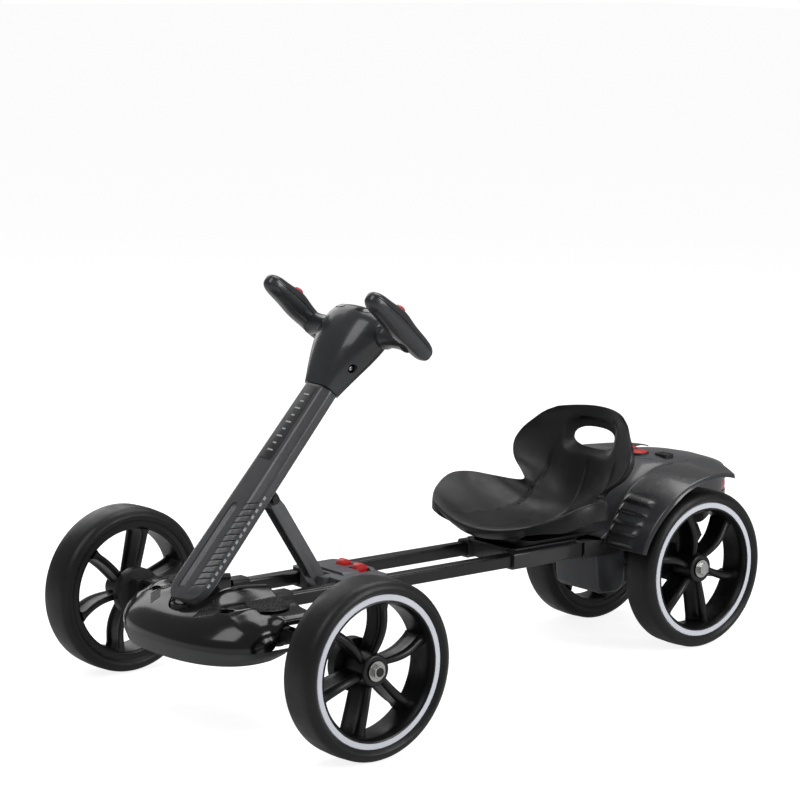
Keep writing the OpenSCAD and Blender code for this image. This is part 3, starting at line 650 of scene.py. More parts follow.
@dataclass
class Wheel:
    """Foam tyre with its pale ring, and a rim with curved blades round a hub."""

    node: str
    body: str
    side: Side
    phase: float
    tyre_radius: float = 0.115
    tyre_half: float = 0.0286
    rim_radius: float = 0.0902
    ring_inner: float = 0.0896
    ring_outer: float = 0.0974
    ring_face: float = 0.0238
    hub_radius: float = 0.0205
    hub_face: float = 0.0168
    blades: int = 6
    blade_depth: float = 0.034

    def centre(self) -> Vector:
        """Returns the wheel's middle, from the frame."""
        low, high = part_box(f"{self.node}_tyre")
        return (low + high) / 2

    def tyre(self) -> bpy.types.Object:
        """Returns the tyre, with a crease beside the ring and round shoulders."""
        r, half = self.tyre_radius, self.tyre_half
        wall = [(self.rim_radius, self.ring_face - 0.001), (self.ring_outer + 0.0002, self.ring_face - 0.001),
                (self.ring_outer + 0.0007, self.ring_face + 0.0006),
                (self.ring_outer + 0.0024, self.ring_face + 0.0018)]
        shoulder = arc((r - 0.0135, half - 0.0135), (0.0135, 0.0135), 82, 20, 7)
        tread = [(r - 0.0003, 0.010), (r, 0.004)]
        near = wall + [(self.ring_outer + 0.0042, self.ring_face + 0.0034)] + shoulder + tread
        inner = self.ring_inner + 0.0004
        far = [(inner, -self.ring_face), (inner + 0.0068, -self.ring_face - 0.0002),
               (inner + 0.0072, -self.ring_face - 0.0012), (inner + 0.0092, -self.ring_face - 0.0026)]
        far += [(p[0], -p[1]) for p in shoulder + tread]
        piece = Bench.lathe(f"{self.node}_tyre_foam", near + far[::-1], self.centre(), 120, self.side.value)
        return Bench.finish(piece, TYRE_BLACK, self.body, "tyre_black", f"{self.node}_tyre", angle=50)

    def ring(self) -> bpy.types.Object:
        """Returns the pale ring set into the outer face."""
        face, low, high = self.ring_face, self.ring_inner, self.ring_outer
        section = [(low, face - 0.002), (low, face - 0.0004), (low + 0.0005, face + 0.0001),
                   (high - 0.0005, face + 0.0001), (high, face - 0.0004), (high, face - 0.002)]
        piece = Bench.lathe(f"{self.node}_ring", section, self.centre(), 120, self.side.value)
        return Bench.finish(piece, RING_PALE, self.body, "tyre_black")

    def barrel(self) -> bpy.types.Object:
        """Returns the rim's barrel, with a lip at each end and a step inside."""
        r, face = self.rim_radius, self.ring_face
        section = [(r - 0.0002, face - 0.0012), (r - 0.0008, face + 0.0006), (r - 0.0018, face + 0.0009),
                   (r - 0.0030, face + 0.0002), (r - 0.0036, face - 0.0020), (r - 0.0058, face - 0.0050),
                   (r - 0.0062, 0.012), (r - 0.0066, 0.004), (r - 0.0060, -0.010), (r - 0.0050, -0.0185),
                   (r - 0.0048, -0.0205), (r - 0.0024, -0.0222), (r - 0.0004, -0.0225), (r - 0.0001, -0.010),
                   (r - 0.0001, 0.010)]
        return Bench.lathe(f"{self.node}_barrel", section, self.centre(), 120, self.side.value)

    def hub(self) -> bpy.types.Object:
        """Returns the hub with its bore, a ring groove and a rounded rim."""
        r, face = self.hub_radius, self.hub_face
        section = [(0.0062, face - 0.0008), (0.0135, face - 0.0008), (0.0137, face - 0.0002), (0.0142, face),
                   (r - 0.0024, face), (r - 0.0010, face - 0.0005), (r - 0.0002, face - 0.0018),
                   (r, face - 0.004),
                   (r + 0.0006, -0.012), (r + 0.0004, -0.0205), (r - 0.0008, -0.0215), (0.0062, -0.0215)]
        return Bench.lathe(f"{self.node}_hub", section, self.centre(), 64, self.side.value)

    def blade(self) -> bpy.types.Object:
        """Returns one blade pointing up: a round rib outboard and a thin web behind it."""
        centre = self.centre()
        start, end = self.hub_radius - 0.003, self.rim_radius - 0.0045

        def place(u: float, v: float) -> Vector:
            """Place on a blade from 0 to 1 round its section and from hub to rim."""
            radius = start + (end - start) * v
            rib = 0.0048 + 0.0022 * v + 0.0016 * smooth(0.85, 1.0, v)
            web = 0.0027 + 0.0006 * v + 0.003 * smooth(0.9, 1.0, v)
            bow = 0.0055 + 0.0052 * math.sin(math.pi * min(v * 1.02, 1.0)) - 0.001 * v
            turn = math.tau * u
            depth = 0.5 + 0.5 * math.cos(turn)
            if depth > 0.62:
                half = rib * math.sqrt(max(1 - ((depth - 0.81) / 0.19) ** 2, 0.0))
                half = max(half, web if depth < 0.81 else 0.0)
            else:
                half = web + 0.0018 * (1 - smooth(0.0, 0.2, depth))
                half *= math.sqrt(min(depth / 0.03, 1.0)) if depth < 0.03 else 1.0
            x = bow + rib - (1 - depth) * (self.blade_depth + 0.004 * v)
            across = math.copysign(half, math.sin(turn)) if 0 < u < 1 else 0.0
            lean = 0.004 * math.sin(math.pi * v) + (0.5 - depth) * 0.003
            return centre + Vector((x * self.side.value, across + lean, radius))

        return Bench.sheet(f"{self.node}_blade", 40, 16, place, close=True)

    def rim(self) -> bpy.types.Object:
        """Returns the whole rim as one piece."""
        first = self.blade()
        centre = self.centre()
        parts = [self.barrel(), self.hub()]
        for i in range(self.blades):
            turn = Matrix.Rotation(-math.radians(self.phase + 360 / self.blades * i), 4, "X")
            parts.append(Bench.turned(first, f"{self.node}_blade_{i}",
                                      Matrix.Translation(centre) @ turn @ Matrix.Translation(-centre)))
        bpy.data.objects.remove(first, do_unlink=True)
        piece = Bench.join(f"{self.node}_rim_blades", parts)
        return Bench.finish(piece, RIM_BLACK, self.body, "rim_black", f"{self.node}_rim", angle=42)

    def build(self) -> None:
        """Makes the whole wheel."""
        self.tyre()
        self.ring()
        self.rim()


# ---------------------------------------------------------------- seat


@dataclass
class Seat:
    """Blow-moulded bucket seat with sewn-look creases and a hand slot in its back."""

    wall: float = 0.0042
    roll: float = 0.06
    crease_x: float = 0.066
    slot_height: float = 0.298
    slot_width: float = 0.084
    slot_tall: float = 0.030
    base_y: float = 0.0
    # station, distance behind the front axle, height, half width, rise and sweep of the sides
    stations: tuple[tuple[float, ...], ...] = (
        (0.00, 0.411, 0.181, 0.072, 0.008, 0.014), (0.03, 0.405, 0.188, 0.085, 0.011, 0.013),
        (0.06, 0.406, 0.195, 0.095, 0.013, 0.011), (0.12, 0.420, 0.197, 0.110, 0.019, 0.004),
        (0.24, 0.448, 0.192, 0.131, 0.036, 0.000), (0.38, 0.484, 0.189, 0.143, 0.052, 0.000),
        (0.50, 0.518, 0.188, 0.139, 0.053, 0.000), (0.59, 0.546, 0.189, 0.117, 0.046, 0.000),
        (0.66, 0.568, 0.193, 0.092, 0.039, -0.006), (0.73, 0.589, 0.204, 0.078, 0.030, -0.020),
        (0.79, 0.603, 0.221, 0.088, 0.022, -0.030), (0.85, 0.614, 0.246, 0.111, 0.015, -0.036),
        (0.90, 0.623, 0.274, 0.119, 0.008, -0.038), (0.94, 0.631, 0.301, 0.113, 0.000, -0.036),
        (0.97, 0.638, 0.323, 0.099, -0.006, -0.032), (0.99, 0.643, 0.337, 0.086, -0.008, -0.027),
        (1.00, 0.645, 0.3435, 0.070, -0.007, -0.021))

    def surface(self, u: float, v: float) -> Vector:
        """Place on the upper surface.

        Args:
            u: 0 at the right edge, 1 at the left edge.
            v: 0 at the front lip, 1 at the top of the back.

        Returns:
            The place.
        """
        y, z, half, rise, sweep = (spline(self.stations, v, c) for c in range(1, 6))
        inner = min(max((u - self.roll) / (1 - 2 * self.roll), 0.0), 1.0)
        across = math.sin((inner - 0.5) * math.pi * 0.94) / math.sin(0.47 * math.pi)
        x = half * across
        lift = across * across
        depth = 0.0
        fade = smooth(0.10, 0.20, v) * (1 - smooth(0.86, 0.91, v))
        for crease in (-self.crease_x, 0.0, self.crease_x):
            near = (x - crease) / 0.0013
            span = fade if crease else smooth(0.07, 0.16, v) * (1 - smooth(0.87, 0.9, v))
            depth += 0.0026 * span * math.exp(-near * near)
            broad = (x - crease) / 0.009
            depth += 0.0012 * span * math.exp(-broad * broad)
        if v > 0.8:
            dish = ((x / 0.053) ** 4 + ((z + rise * lift - self.slot_height - 0.003) / 0.026) ** 4) ** 0.25
            depth += 0.0075 * (1 - smooth(0.70, 1.06, dish))
        tilt = smooth(0.62, 0.8, v)
        rolled = max(self.roll - min(u, 1 - u), 0.0) / self.roll
        bow = math.sin(rolled * math.pi / 2)
        depth += self.skirt(v) * rolled * rolled * (0.35 + 0.65 * rolled)
        x += math.copysign(0.24 * self.skirt(v) * bow, across)
        return Vector((x, y + sweep * lift + depth * tilt + self.base_y,
                       z + rise * lift - depth * (1 - tilt)))

    def skirt(self, v: float) -> float:
        """Returns the depth of the rolled edge at a station: shallow in front, deep beside the pan."""
        fade = smooth(-0.02, 0.09, v) * (1 - smooth(0.88, 1.0, v))
        return fade * (0.011 + 0.014 * smooth(0.05, 0.3, v) - 0.014 * smooth(0.62, 0.8, v))

    def shell(self) -> bpy.types.Object:
        """Returns the seat shell."""
        piece = Bench.sheet("seat_shell", 200, 124, self.surface)
        Bench.thicken(piece, self.wall, -1)
        slot = Bench.slab("slot_tool", [superellipse(math.tau * i / 56, self.slot_width / 2,
                                                     self.slot_tall / 2, 2.5) for i in range(56)], 0.16,
                          lambda a, b, c: Vector((a, 0.56 + self.base_y + c, self.slot_height + b)))
        Bench.cut(piece, [slot])
        Bench.bevel(piece, 0.0016, 3, 55)
        foot = self.base_block()
        piece = Bench.join("seat_shell", [piece, foot])
        return Bench.finish(piece, SEAT_BLACK, "chassis", "seat_black", "seat", angle=40)

    def base_block(self) -> bpy.types.Object:
        """Returns the moulded foot under the pan, with drafted sides."""
        def place(a: float, b: float, c: float) -> Vector:
            """Place in the kart of a point of the foot, which widens upwards."""
            spread = 1 + 0.9 * c / 0.018
            return Vector((a * spread, 0.502 + self.base_y + b * (1 + 0.25 * c / 0.018), 0.169 + c))
        block = Bench.slab("seat_foot", racetrack(0.096, 0.118, 0.012), 0.018, place)
        return Bench.bevel(block, 0.003, 3, 40)

    def build(self) -> None:
        """Makes the seat."""
        self.shell()


# ---------------------------------------------------------------- fairing


@dataclass
class Fairing:
    """Gloss nose round the column's foot, its lower lip and both footrests."""

    base_y: float
    half: float = 0.140
    middle_y: float = -0.048
    reach: float = 0.084
    rear_y: float = 0.0135
    inner: float = 0.0368
    lip_top: float = 0.117
    lip_low: float = 0.097
    pad_z: float = 0.1635
    # distance from the front axle, height of the middle line
    hood: tuple[tuple[float, float], ...] = (
        (-0.134, 0.136), (-0.120, 0.145), (-0.104, 0.1535), (-0.088, 0.161), (-0.070, 0.171),
        (-0.050, 0.1785),
        (-0.025, 0.1795), (0.014, 0.176))

    def path(self, s: float, grow: float) -> tuple[float, float]:
        """Plan point along the nose, from the rear right round the front to the rear left.

        Args:
            s: 0 to 1 along the path.
            grow: 0 on the inner edge, 1 on the outer one.

        Returns:
            The point, from the front axle.
        """
        half = self.inner + (self.half - self.inner) * grow
        front = 0.058 + (self.reach - 0.058) * grow
        straight = 0.22
        rear = self.rear_y - 0.004 * smooth(0.85, 1.0, grow)
        if s < straight:
            return -half, rear + (self.middle_y - rear) * s / straight
        if s > 1 - straight:
            return half, rear + (self.middle_y - rear) * (1 - s) / straight
        turn = math.pi * (1 + (s - straight) / (1 - 2 * straight))
        x, y = superellipse(turn, half, front, 2 + 0.35 * grow)
        return x, self.middle_y + y

    def crown(self, x: float, y: float) -> float:
        """Height of the nose's middle line at a plan point."""
        hood = spline(self.hood, y, 1)
        shoulder = min(hood, self.pad_z - 0.0005)
        return hood + (shoulder - hood) * smooth(0.040, 0.074, abs(x))

    def surface(self, u: float, v: float) -> Vector:
        """Place on the nose.

        Args:
            u: along the path round the nose.
            v: 0 at the foot of the wall beside the column, 1 at the foot of the outer wall.

        Returns:
            The place.
        """
        if v < 0.1:
            x, y = self.path(u, 0.0)
            top = self.crown(x, y)
            return Vector((x, y + self.base_y, top - 0.024 + 0.024 * v / 0.1 - 0.0015 * (1 - v / 0.1)))
        t = (v - 0.1) / 0.9
        grow = math.sin(min(t / 0.86, 1.0) * math.pi / 2) ** 1.15
        x, y = self.path(u, grow)
        top = self.crown(x, y)
        sill = self.lip_top + 0.030 * smooth(-0.052, -0.030, y) * smooth(0.5, 0.9, grow)
        power = 2.9 + 2.1 * smooth(-0.085, -0.050, y)
        fall = (1 - min(grow, 1.0) ** power) ** (1 / 2.0)
        wall = 0.004 * (1 - smooth(0.86, 1.0, t))
        z = sill + wall + (top - sill - wall) * fall
        ridge = 0.004 * math.exp(-((grow - 0.60) / 0.10) ** 2) * smooth(-0.09, -0.05, y)
        return Vector((x, y + self.base_y, z + ridge))

    def nose(self) -> bpy.types.Object:
        """Returns the gloss nose with its side gaps and grilles."""
        piece = Bench.sheet("nose_cover", 132, 56, self.surface)
        Bench.edit(piece)
        bpy.ops.mesh.normals_make_consistent(inside=False)
        bpy.ops.object.mode_set(mode="OBJECT")
        up = sum(f.normal.z * f.area for f in piece.data.polygons)
        if up < 0:
            piece.data.flip_normals()
        Bench.thicken(piece, 0.0028, -1)
        tools = []
        for side in Side:
            tools.append(self._hole(racetrack(0.020, 0.013, 0.0062), Vector((0.079, -0.077, 0)), side, 34))
            for i in range(7):
                tools.append(self._hole(racetrack(0.0018, 0.014, 0.0008),
                                        Vector((0.047 + 0.0034 * i, -0.099 + 0.0024 * i, 0)), side, 10))
        Bench.cut(piece, tools[:1] + tools[8:9])
        Bench.cut(piece, [Bench.join("grille_tool", tools[1:8] + tools[9:])])
        Bench.bevel(piece, 0.0007, 2, 50)
        return Bench.finish(piece, PIANO_BLACK, "chassis", "gloss_black", "front_fairing", angle=35)

    def _hole(self, outline: Outline, middle: Vector, side: Side, lean: float = 0.0) -> bpy.types.Object:
        """Upright cutting body.

        Args:
            outline: its plan.
            middle: plan place on the left side.
            side: side of the kart.
            lean: turn about Z in degrees.

        Returns:
            The body.
        """
        turn = math.radians(lean)

        def place(a: float, b: float, c: float) -> Vector:
            """Place in the kart of a point of the leaning slot."""
            x = middle.x + a * math.cos(turn) - b * math.sin(turn)
            return Vector((x * side.value, middle.y + a * math.sin(turn) + b * math.cos(turn) + self.base_y,
                           c))

        return Bench.slab("hole_tool", outline, 0.2, place)

    def lip(self) -> bpy.types.Object:
        """Returns the grey lower band."""
        def place(u: float, v: float) -> Vector:
            """Place on the lip from 0 to 1 along it and across it."""
            s = 0.13 + 0.74 * u
            turn = smooth(0, 1, v)
            x, y = self.path(s, 0.992 - 0.075 * turn * turn)
            low = self.lip_low + 0.011 * abs(2 * u - 1) ** 3
            return Vector((x, y + self.base_y, self.lip_top + 0.0006 + (low - self.lip_top) * v ** 0.8))
        piece = Bench.sheet("nose_lip", 110, 10, place)
        facing = sum((f.center.y - self.base_y) * f.normal.y for f in piece.data.polygons)
        if facing < 0:
            piece.data.flip_normals()
        Bench.thicken(piece, 0.003, -1)
        Bench.bevel(piece, 0.0008, 2, 50)
        return Bench.finish(piece, LIP_GREY, "chassis", "lip_grey", "front_lip")

    def pads(self) -> bpy.types.Object:
        """Returns both footrests, with a raised diamond tread."""
        pads = []
        for side in Side:
            def place(u: float, v: float, sign: int = side.value) -> Vector:
                """Place on a pad from 0 to 1 along and across."""
                p, q = 2 * u - 1, 2 * v - 1
                x = p * math.sqrt(1 - q * q / 2) * 0.035 + 0.085
                y = q * math.sqrt(1 - p * p / 2) * 0.0315 - 0.0185 - 0.006 * p
                tread = max(math.cos((x + y) * 1150), math.cos((x - y) * 1150))
                edge = smooth(1.0, 0.9, max(abs(p), abs(q)))
                z = self.pad_z + 0.0012 * smooth(0.55, 0.85, tread) * edge - 0.0016 * (1 - edge)
                return Vector((x * sign, y + self.base_y, z))
            pad = Bench.sheet("pad", 90, 84, place)
            if pad.data.polygons[0].normal.z < 0:
                pad.data.flip_normals()
            pads.append(Bench.thicken(pad, 0.0035, -1))
        piece = Bench.join("footrest_tread", pads)
        return Bench.finish(piece, PAD_BLACK, "chassis", "footrest_black", "footrest_pads")

    def build(self) -> None:
        """Makes the whole front cover."""
        self.nose()
        self.lip()
        self.pads()


# ---------------------------------------------------------------- steering column


@dataclass
class ColumnFrame:
    """The column's own frame: across, rearwards from its axis, and along it from its foot."""

    axis: Vector
    origin: Vector

    @classmethod
    def from_joint(cls, joint: dict, joint_station: float) -> "ColumnFrame":
        """Reads the column's axis from the handlebar's joint.

        Args:
            joint: the joint's record.
            joint_station: where the joint lies along the column.

        Returns:
            The frame.
        """
        axis = Vector(joint["axis"]).normalized()
        return cls(axis, Vector(joint["pos_m"]) - axis * joint_station)

    def at(self, across: float, back: float, along: float) -> Vector:
        """Place in the kart's frame."""
        rearwards = Vector((0, self.axis.z, -self.axis.y))
        return self.origin + Vector((across, 0, 0)) + rearwards * back + self.axis * along


@dataclass
class SteeringColumn:
    """Moulded column covers with a front groove, side slashes and a plain trim panel."""

    place: ColumnFrame
    foot: float = 0.058
    top: float = 0.398
    foot_half: float = 0.0345
    top_half: float = 0.026
    depth: float = 0.0152
    slashes: int = 14
    slash_pitch: float = 0.0098
    slash_start: float = 0.080

    def half_width(self, s: float) -> float:
        """Half width at a station, with the foot rounded to a V."""
        t = (s - self.foot) / (self.top - self.foot)
        half = self.foot_half + (self.top_half - self.foot_half) * t
        rise = s - self.foot
        if rise < self.foot_half:
            half *= math.sqrt(max(1 - (1 - rise / self.foot_half) ** 2, 0.0)) * 0.93 + 0.07
        return half

    def section(self, u: float, s: float, grow: float = 0.0) -> Vector:
        """Place on the covers' outer surface.

        Args:
            u: 0 to 1 round the section.
            s: station along the column.
            grow: how far outwards.

        Returns:
            The place.
        """
        half, depth = self.half_width(s) + grow, self.depth + grow
        corners = [(0.0, -1.0), (0.56, -0.98), (0.66, -0.93), (0.97, -0.38), (1.0, -0.28), (1.0, 0.45),
                   (0.95, 0.58),
                   (0.62, 0.96), (0.5, 1.0), (0.0, 1.0)]
        t = u * 2 if u <= 0.5 else 2 - u * 2
        index = min(int(t * 9), 8)
        f = t * 9 - index
        a, b = corners[index], corners[index + 1]
        x = (a[0] + (b[0] - a[0]) * f) * half
        y = (a[1] + (b[1] - a[1]) * f) * depth
        return self.place.at(x if u <= 0.5 else -x, y, s)

    def body(self) -> bpy.types.Object:
        """Returns the outer body of both covers."""
        def surface(u: float, v: float) -> Vector:
            """Place on the body from 0 to 1 round it and up it."""
            s = self.foot + (self.top - self.foot) * v ** 1.25
            return self.section(u, s)
        piece = Bench.sheet("column_body", 72, 80, surface, close=True)
        tools = [self.groove()] + [self.slash(side, i) for side in Side for i in range(self.slashes)]
        Bench.cut(piece, tools[:1])
        Bench.cut(piece, [Bench.join("slash_tool", tools[1:])])
        return piece

    def groove(self) -> bpy.types.Object:
        """Returns the cutter of the long front groove."""
        outline = racetrack(0.0125, 0.136, 0.0062, 8)
        return Bench.slab("groove_tool", outline, 0.0035,
                          lambda a, b, c: self.place.at(a, -self.depth + 0.0016 - c, 0.139 + b))

    def slash(self, side: Side, index: int) -> bpy.types.Object:
        """Returns the cutter of one slanted side slash."""
        s = self.slash_start + self.slash_pitch * index
        half = self.half_width(s)

        def place(a: float, b: float, c: float) -> Vector:
            """Place in the kart of a point of one slash."""
            f = 0.5 + b / 0.018
            x = (0.60 + 0.38 * f) * half
            y = (-1.0 + 0.66 * f) * self.depth
            outwards = 0.0012 - 0.003 + c
            return self.place.at((x + outwards * 0.6) * side.value, y - outwards * 0.75, s + a + 0.011 * f)

        return Bench.slab("slash", [(-0.0007, -0.009), (0.0007, -0.009), (0.0007, 0.009), (-0.0007, 0.009)],
                          0.004, place)

    def shells(self) -> None:
        """Splits the body into its front and rear covers along the side seam."""
        body = self.body()
        for name, node, inner in (("front", "column_cover_front", True),
                                  ("rear", "column_cover_rear", False)):
            half = Bench.turned(body, f"column_shell_{name}", Matrix.Identity(4))
            Bench.edit(half)
            seam = 0.0045 + (0.0 if inner else 0.0005)
            bpy.ops.mesh.bisect(plane_co=self.place.at(0, seam, 0.2),
                                plane_no=self.place.at(0, 1, 0) - self.place.at(0, 0, 0),
                                clear_outer=inner, clear_inner=not inner, use_fill=True)
            bpy.ops.object.mode_set(mode="OBJECT")
            if not inner:
                self._rear_slots(half)
            Bench.bevel(half, 0.0007, 2, 42)
            Bench.finish(half, COVER_GREY, "column", "cover_grey", node, angle=30)
        bpy.data.objects.remove(body, do_unlink=True)

    def _rear_slots(self, half: bpy.types.Object) -> None:
        """Cuts the rear cover's slots for the foot lug and the strut."""
        for width, low, high in ((0.024, 0.05, 0.107), (0.031, 0.216, 0.256)):
            box = racetrack(width, high - low, 0.002, 2)
            Bench.cut(half, [Bench.slab("slot_tool", box, 0.05, lambda a, b, c,
                                        m=(low + high) / 2: self.place.at(a, 0.006 + c, m + b))])

    def trim(self) -> None:
        """Adds the groove's ribbed insert, the slashes' tiles and the upper trim panel."""
        def rib(u: float, v: float) -> Vector:
            """Place on the ribbed insert from 0 to 1 across it and up it."""
            s = 0.0745 + 0.129 * v
            x = (u - 0.5) * 0.0108 * math.sqrt(max(1 - (2 * v - 1) ** 24, 0.0))
            wave = 0.0004 * math.cos(u * math.tau * 3)
            return self.place.at(x, -self.depth + 0.0012 + wave, s)
        insert = Bench.sheet("column_groove_rib", 30, 60, rib)
        Bench.thicken(insert, 0.001, 0)
        Bench.finish(insert, INLAY_GREY, "column", "strut_grey")
        tiles = []
        for side in Side:
            for i in range(self.slashes + 1):
                s = self.slash_start + self.slash_pitch * i + 0.0105
                x = self.half_width(s)
                ring = Bench.slab("tile", racetrack(0.0036, 0.0052, 0.0007, 2), 0.0004,
                                  lambda a, b, c, s=s, x=x,
                                  k=side.value: self.place.at((x + c) * k, -0.0022 + a, s + b))
                Bench.edit(ring)
                bpy.ops.mesh.select_all(action="DESELECT")
                bpy.ops.object.mode_set(mode="OBJECT")
                outer = max(ring.data.polygons, key=lambda f, k=side.value: f.center.x * k)
                outer.select = True
                bpy.ops.object.mode_set(mode="EDIT")
                bpy.ops.mesh.inset(thickness=0.0008, depth=-0.0003)
                bpy.ops.object.mode_set(mode="OBJECT")
                tiles.append(ring)
        Bench.finish(Bench.join("column_tiles", tiles), PRINT_WHITE, "column", "cover_grey")
        panel = Bench.slab("column_panel", racetrack(0.0235, 0.118, 0.003, 4), 0.0011,
                           lambda a, b, c: self.place.at(a * (1 - 0.8 * (b + 0.059)),
                                                         -self.depth + 0.0004 - c, 0.336 + b))
        Bench.bevel(panel, 0.0004, 2, 40)
        Bench.finish(panel, PANEL_GREY, "column", "cover_grey")
        bars = [Bench.slab("bar", racetrack(0.011 - 0.004 * (i % 2), 0.0022, 0.0006, 2), 0.0003,
                           lambda a, b, c, s=0.291 + 0.0112 * i: self.place.at(a, -self.depth - 0.0006 - c,
                                                                               s + b))
                for i in range(9)]
        Bench.finish(Bench.join("column_bars", bars), PRINT_WHITE, "column", "cover_grey")

    def build(self) -> None:
        """Makes the column's covers and trim."""
        self.shells()
        self.trim()


@dataclass
class Handlebar:
    """Bell-shaped head with a crossbar and two oblong grips."""

    place: ColumnFrame
    bar_s: float = 0.496
    screw: Vector = field(default_factory=lambda: Vector((0.0352, -0.006, 0.436)))
    grip_x: float = 0.108
    grip_length: float = 0.134
    grip_back: float = -0.030
    grip_s: float = 0.500
    # station, half width, depth to the front, depth to the rear, squareness
    stations: tuple[tuple[float, ...], ...] = (
        (0.3995, 0.0262, 0.0158, 0.0158, 4.2), (0.410, 0.0300, 0.0205, 0.0170, 3.6),
        (0.425, 0.0368, 0.0265, 0.0185, 3.0),
        (0.442, 0.0440, 0.0325, 0.0205, 2.7), (0.458, 0.0495, 0.0368, 0.0228, 2.6),
        (0.474, 0.0538, 0.0392, 0.0250, 2.5),
        (0.489, 0.0562, 0.0400, 0.0268, 2.4), (0.500, 0.0562, 0.0392, 0.0272, 2.4),
        (0.509, 0.0530, 0.0365, 0.0262, 2.4),
        (0.516, 0.0468, 0.0320, 0.0236, 2.4), (0.5205, 0.0360, 0.0240, 0.0180, 2.3),
        (0.5225, 0.0170, 0.0110, 0.0080, 2.2))

    def bell(self, u: float, v: float) -> Vector:
        """Place on the head's outer surface.

        Args:
            u: 0 to 1 round the section.
            v: 0 at the neck, 1 at the crown.

        Returns:
            The place.
        """
        s = self.stations[0][0] + (self.stations[-1][0] - self.stations[0][0]) * (1 - (1 - v) ** 1.45)
        half, front, rear, power = (spline(self.stations, s, c) for c in range(1, 5))
        x, y = superellipse(math.tau * u, half, 1.0, power)
        y *= rear if y > 0 else front
        return self.place.at(x, y, s)

    def shells(self) -> None:
        """Makes the front and rear head shells with their seam, screws and windows."""
        head = Bench.sheet("head", 96, 64, self.bell, close=True)
        rearwards = self.place.at(0, 1, 0) - self.place.at(0, 0, 0)
        for name, node, front in (("front", "head_shell_front", True), ("rear", "head_shell_rear", False)):
            half = Bench.turned(head, f"head_shell_{name}_skin", Matrix.Identity(4))
            Bench.edit(half)
            bpy.ops.mesh.bisect(plane_co=self.place.at(0, 0.0062 if front else 0.0068, 0.45),
                                plane_no=rearwards,
                                clear_outer=front, clear_inner=not front, use_fill=True)
            bpy.ops.object.mode_set(mode="OBJECT")
            tools = []
            for side in Side:
                k = side.value
                if front:
                    tools.append(self._bore(Vector((self.screw.x * k - 0.006 * k, self.screw.y,
                                                    self.screw.z)), 0.0062, 0.03, k))
            if tools:
                Bench.cut(half, tools)
            Bench.bevel(half, 0.0008, 2, 46)
            Bench.finish(half, HEAD_GREY, "handlebar", "cover_grey", node, angle=34)
        bpy.data.objects.remove(head, do_unlink=True)
        self._details()

    def _bore(self, local: Vector, radius: float, length: float, k: int) -> bpy.types.Object:
        """Round tool that lies across the column.

        Args:
            local: its inner end in the column's frame.
            radius: its radius.
            length: its length outwards.
            k: 1 on the left, -1 on the right.

        Returns:
            The tool.
        """
        outline = arc((0, 0), (radius, radius), 0, 345, 23)
        return Bench.slab("bore_tool", outline, length,
                          lambda a, b, c: self.place.at(local.x + c * k, local.y + a, local.z + b))

    def _details(self) -> None:
        """Adds the screws, the dark wells of painted shade round them and the two dark windows."""
        screws, windows = [], []
        for side in Side:
            k = side.value
            local = self.place.at(self.screw.x * k, self.screw.y, self.screw.z)
            section = [(0.0, 0.0022), (0.0012, 0.0022), (0.0014, 0.0032), (0.0024, 0.0031), (0.0034, 0.0022),
                       (0.0038, 0.0008), (0.0038, -0.004), (0.0, -0.004)]
            screws.append(Bench.lathe(f"head_screw_{side.word}", section, local, 24, k))
            # The dark well round each screw is painted shade: a near-black lining at the bottom of the
            # screw's recess in the grey cover.
            well = [(0.0040, -0.004), (0.0061, -0.004), (0.0061, 0.0012), (0.0056, 0.0016),
                    (0.0052, 0.0006), (0.0040, -0.003)]
            ring = Bench.lathe(f"head_well_{side.word}", well, local, 32, k)
            Bench.finish(ring, DARK_GLASS_AND_SHADE, "handlebar", "cover_grey")

            def window(u: float, v: float, k: int = k) -> Vector:
                """Place on a window from 0 to 1 across it and up it."""
                a, b = (2 * u - 1), (2 * v - 1)
                x = 0.0235 + a * math.sqrt(1 - b * b / 2) * 0.0125
                rise = b * math.sqrt(1 - a * a / 2) * 0.0038 + 0.5112
                half, front = spline(self.stations, rise, 1), spline(self.stations, rise, 2)
                power = spline(self.stations, rise, 4)
                y = -front * (1 - min(x / half, 1.0) ** power) ** (1 / power)
                return self.place.at(x * k, y - 0.0003, rise + 0.0002)
            pane = Bench.sheet(f"head_window_{side.word}", 18, 12, window)
            windows.append(Bench.thicken(pane, 0.0008, 0))
        Bench.finish(Bench.join("head_screws", screws), BRIGHT_STEEL, "handlebar", "bright_steel")
        for pane in windows:
            Bench.close(pane)
        Bench.finish(Bench.join("head_windows", windows), DARK_GLASS_AND_SHADE, "handlebar", "cover_grey")

    def crossbar(self) -> bpy.types.Object:
        """Returns the crossbar, with flared ends that flow into the grips."""
        near = [(0.0165, 0.040), (0.0165, 0.052), (0.0172, 0.0535), (0.0172, 0.0600), (0.0160, 0.0625),
                (0.0142, 0.068),
                (0.0136, 0.078), (0.0139, 0.088), (0.0148, 0.096), (0.0162, 0.102)]
        middle = self.place.at(0, 0, self.bar_s)
        section = [(0.0, -near[-1][1])] + [(r, -x) for r, x in near[::-1]] + near + [(0.0, near[-1][1])]
        piece = Bench.lathe("handlebar_crossbar", section, middle, 64, 1, Vector((1, 0, 0)))
        return Bench.finish(piece, HEAD_GREY, "handlebar", "stem_grey", "handlebar_tube", angle=40)

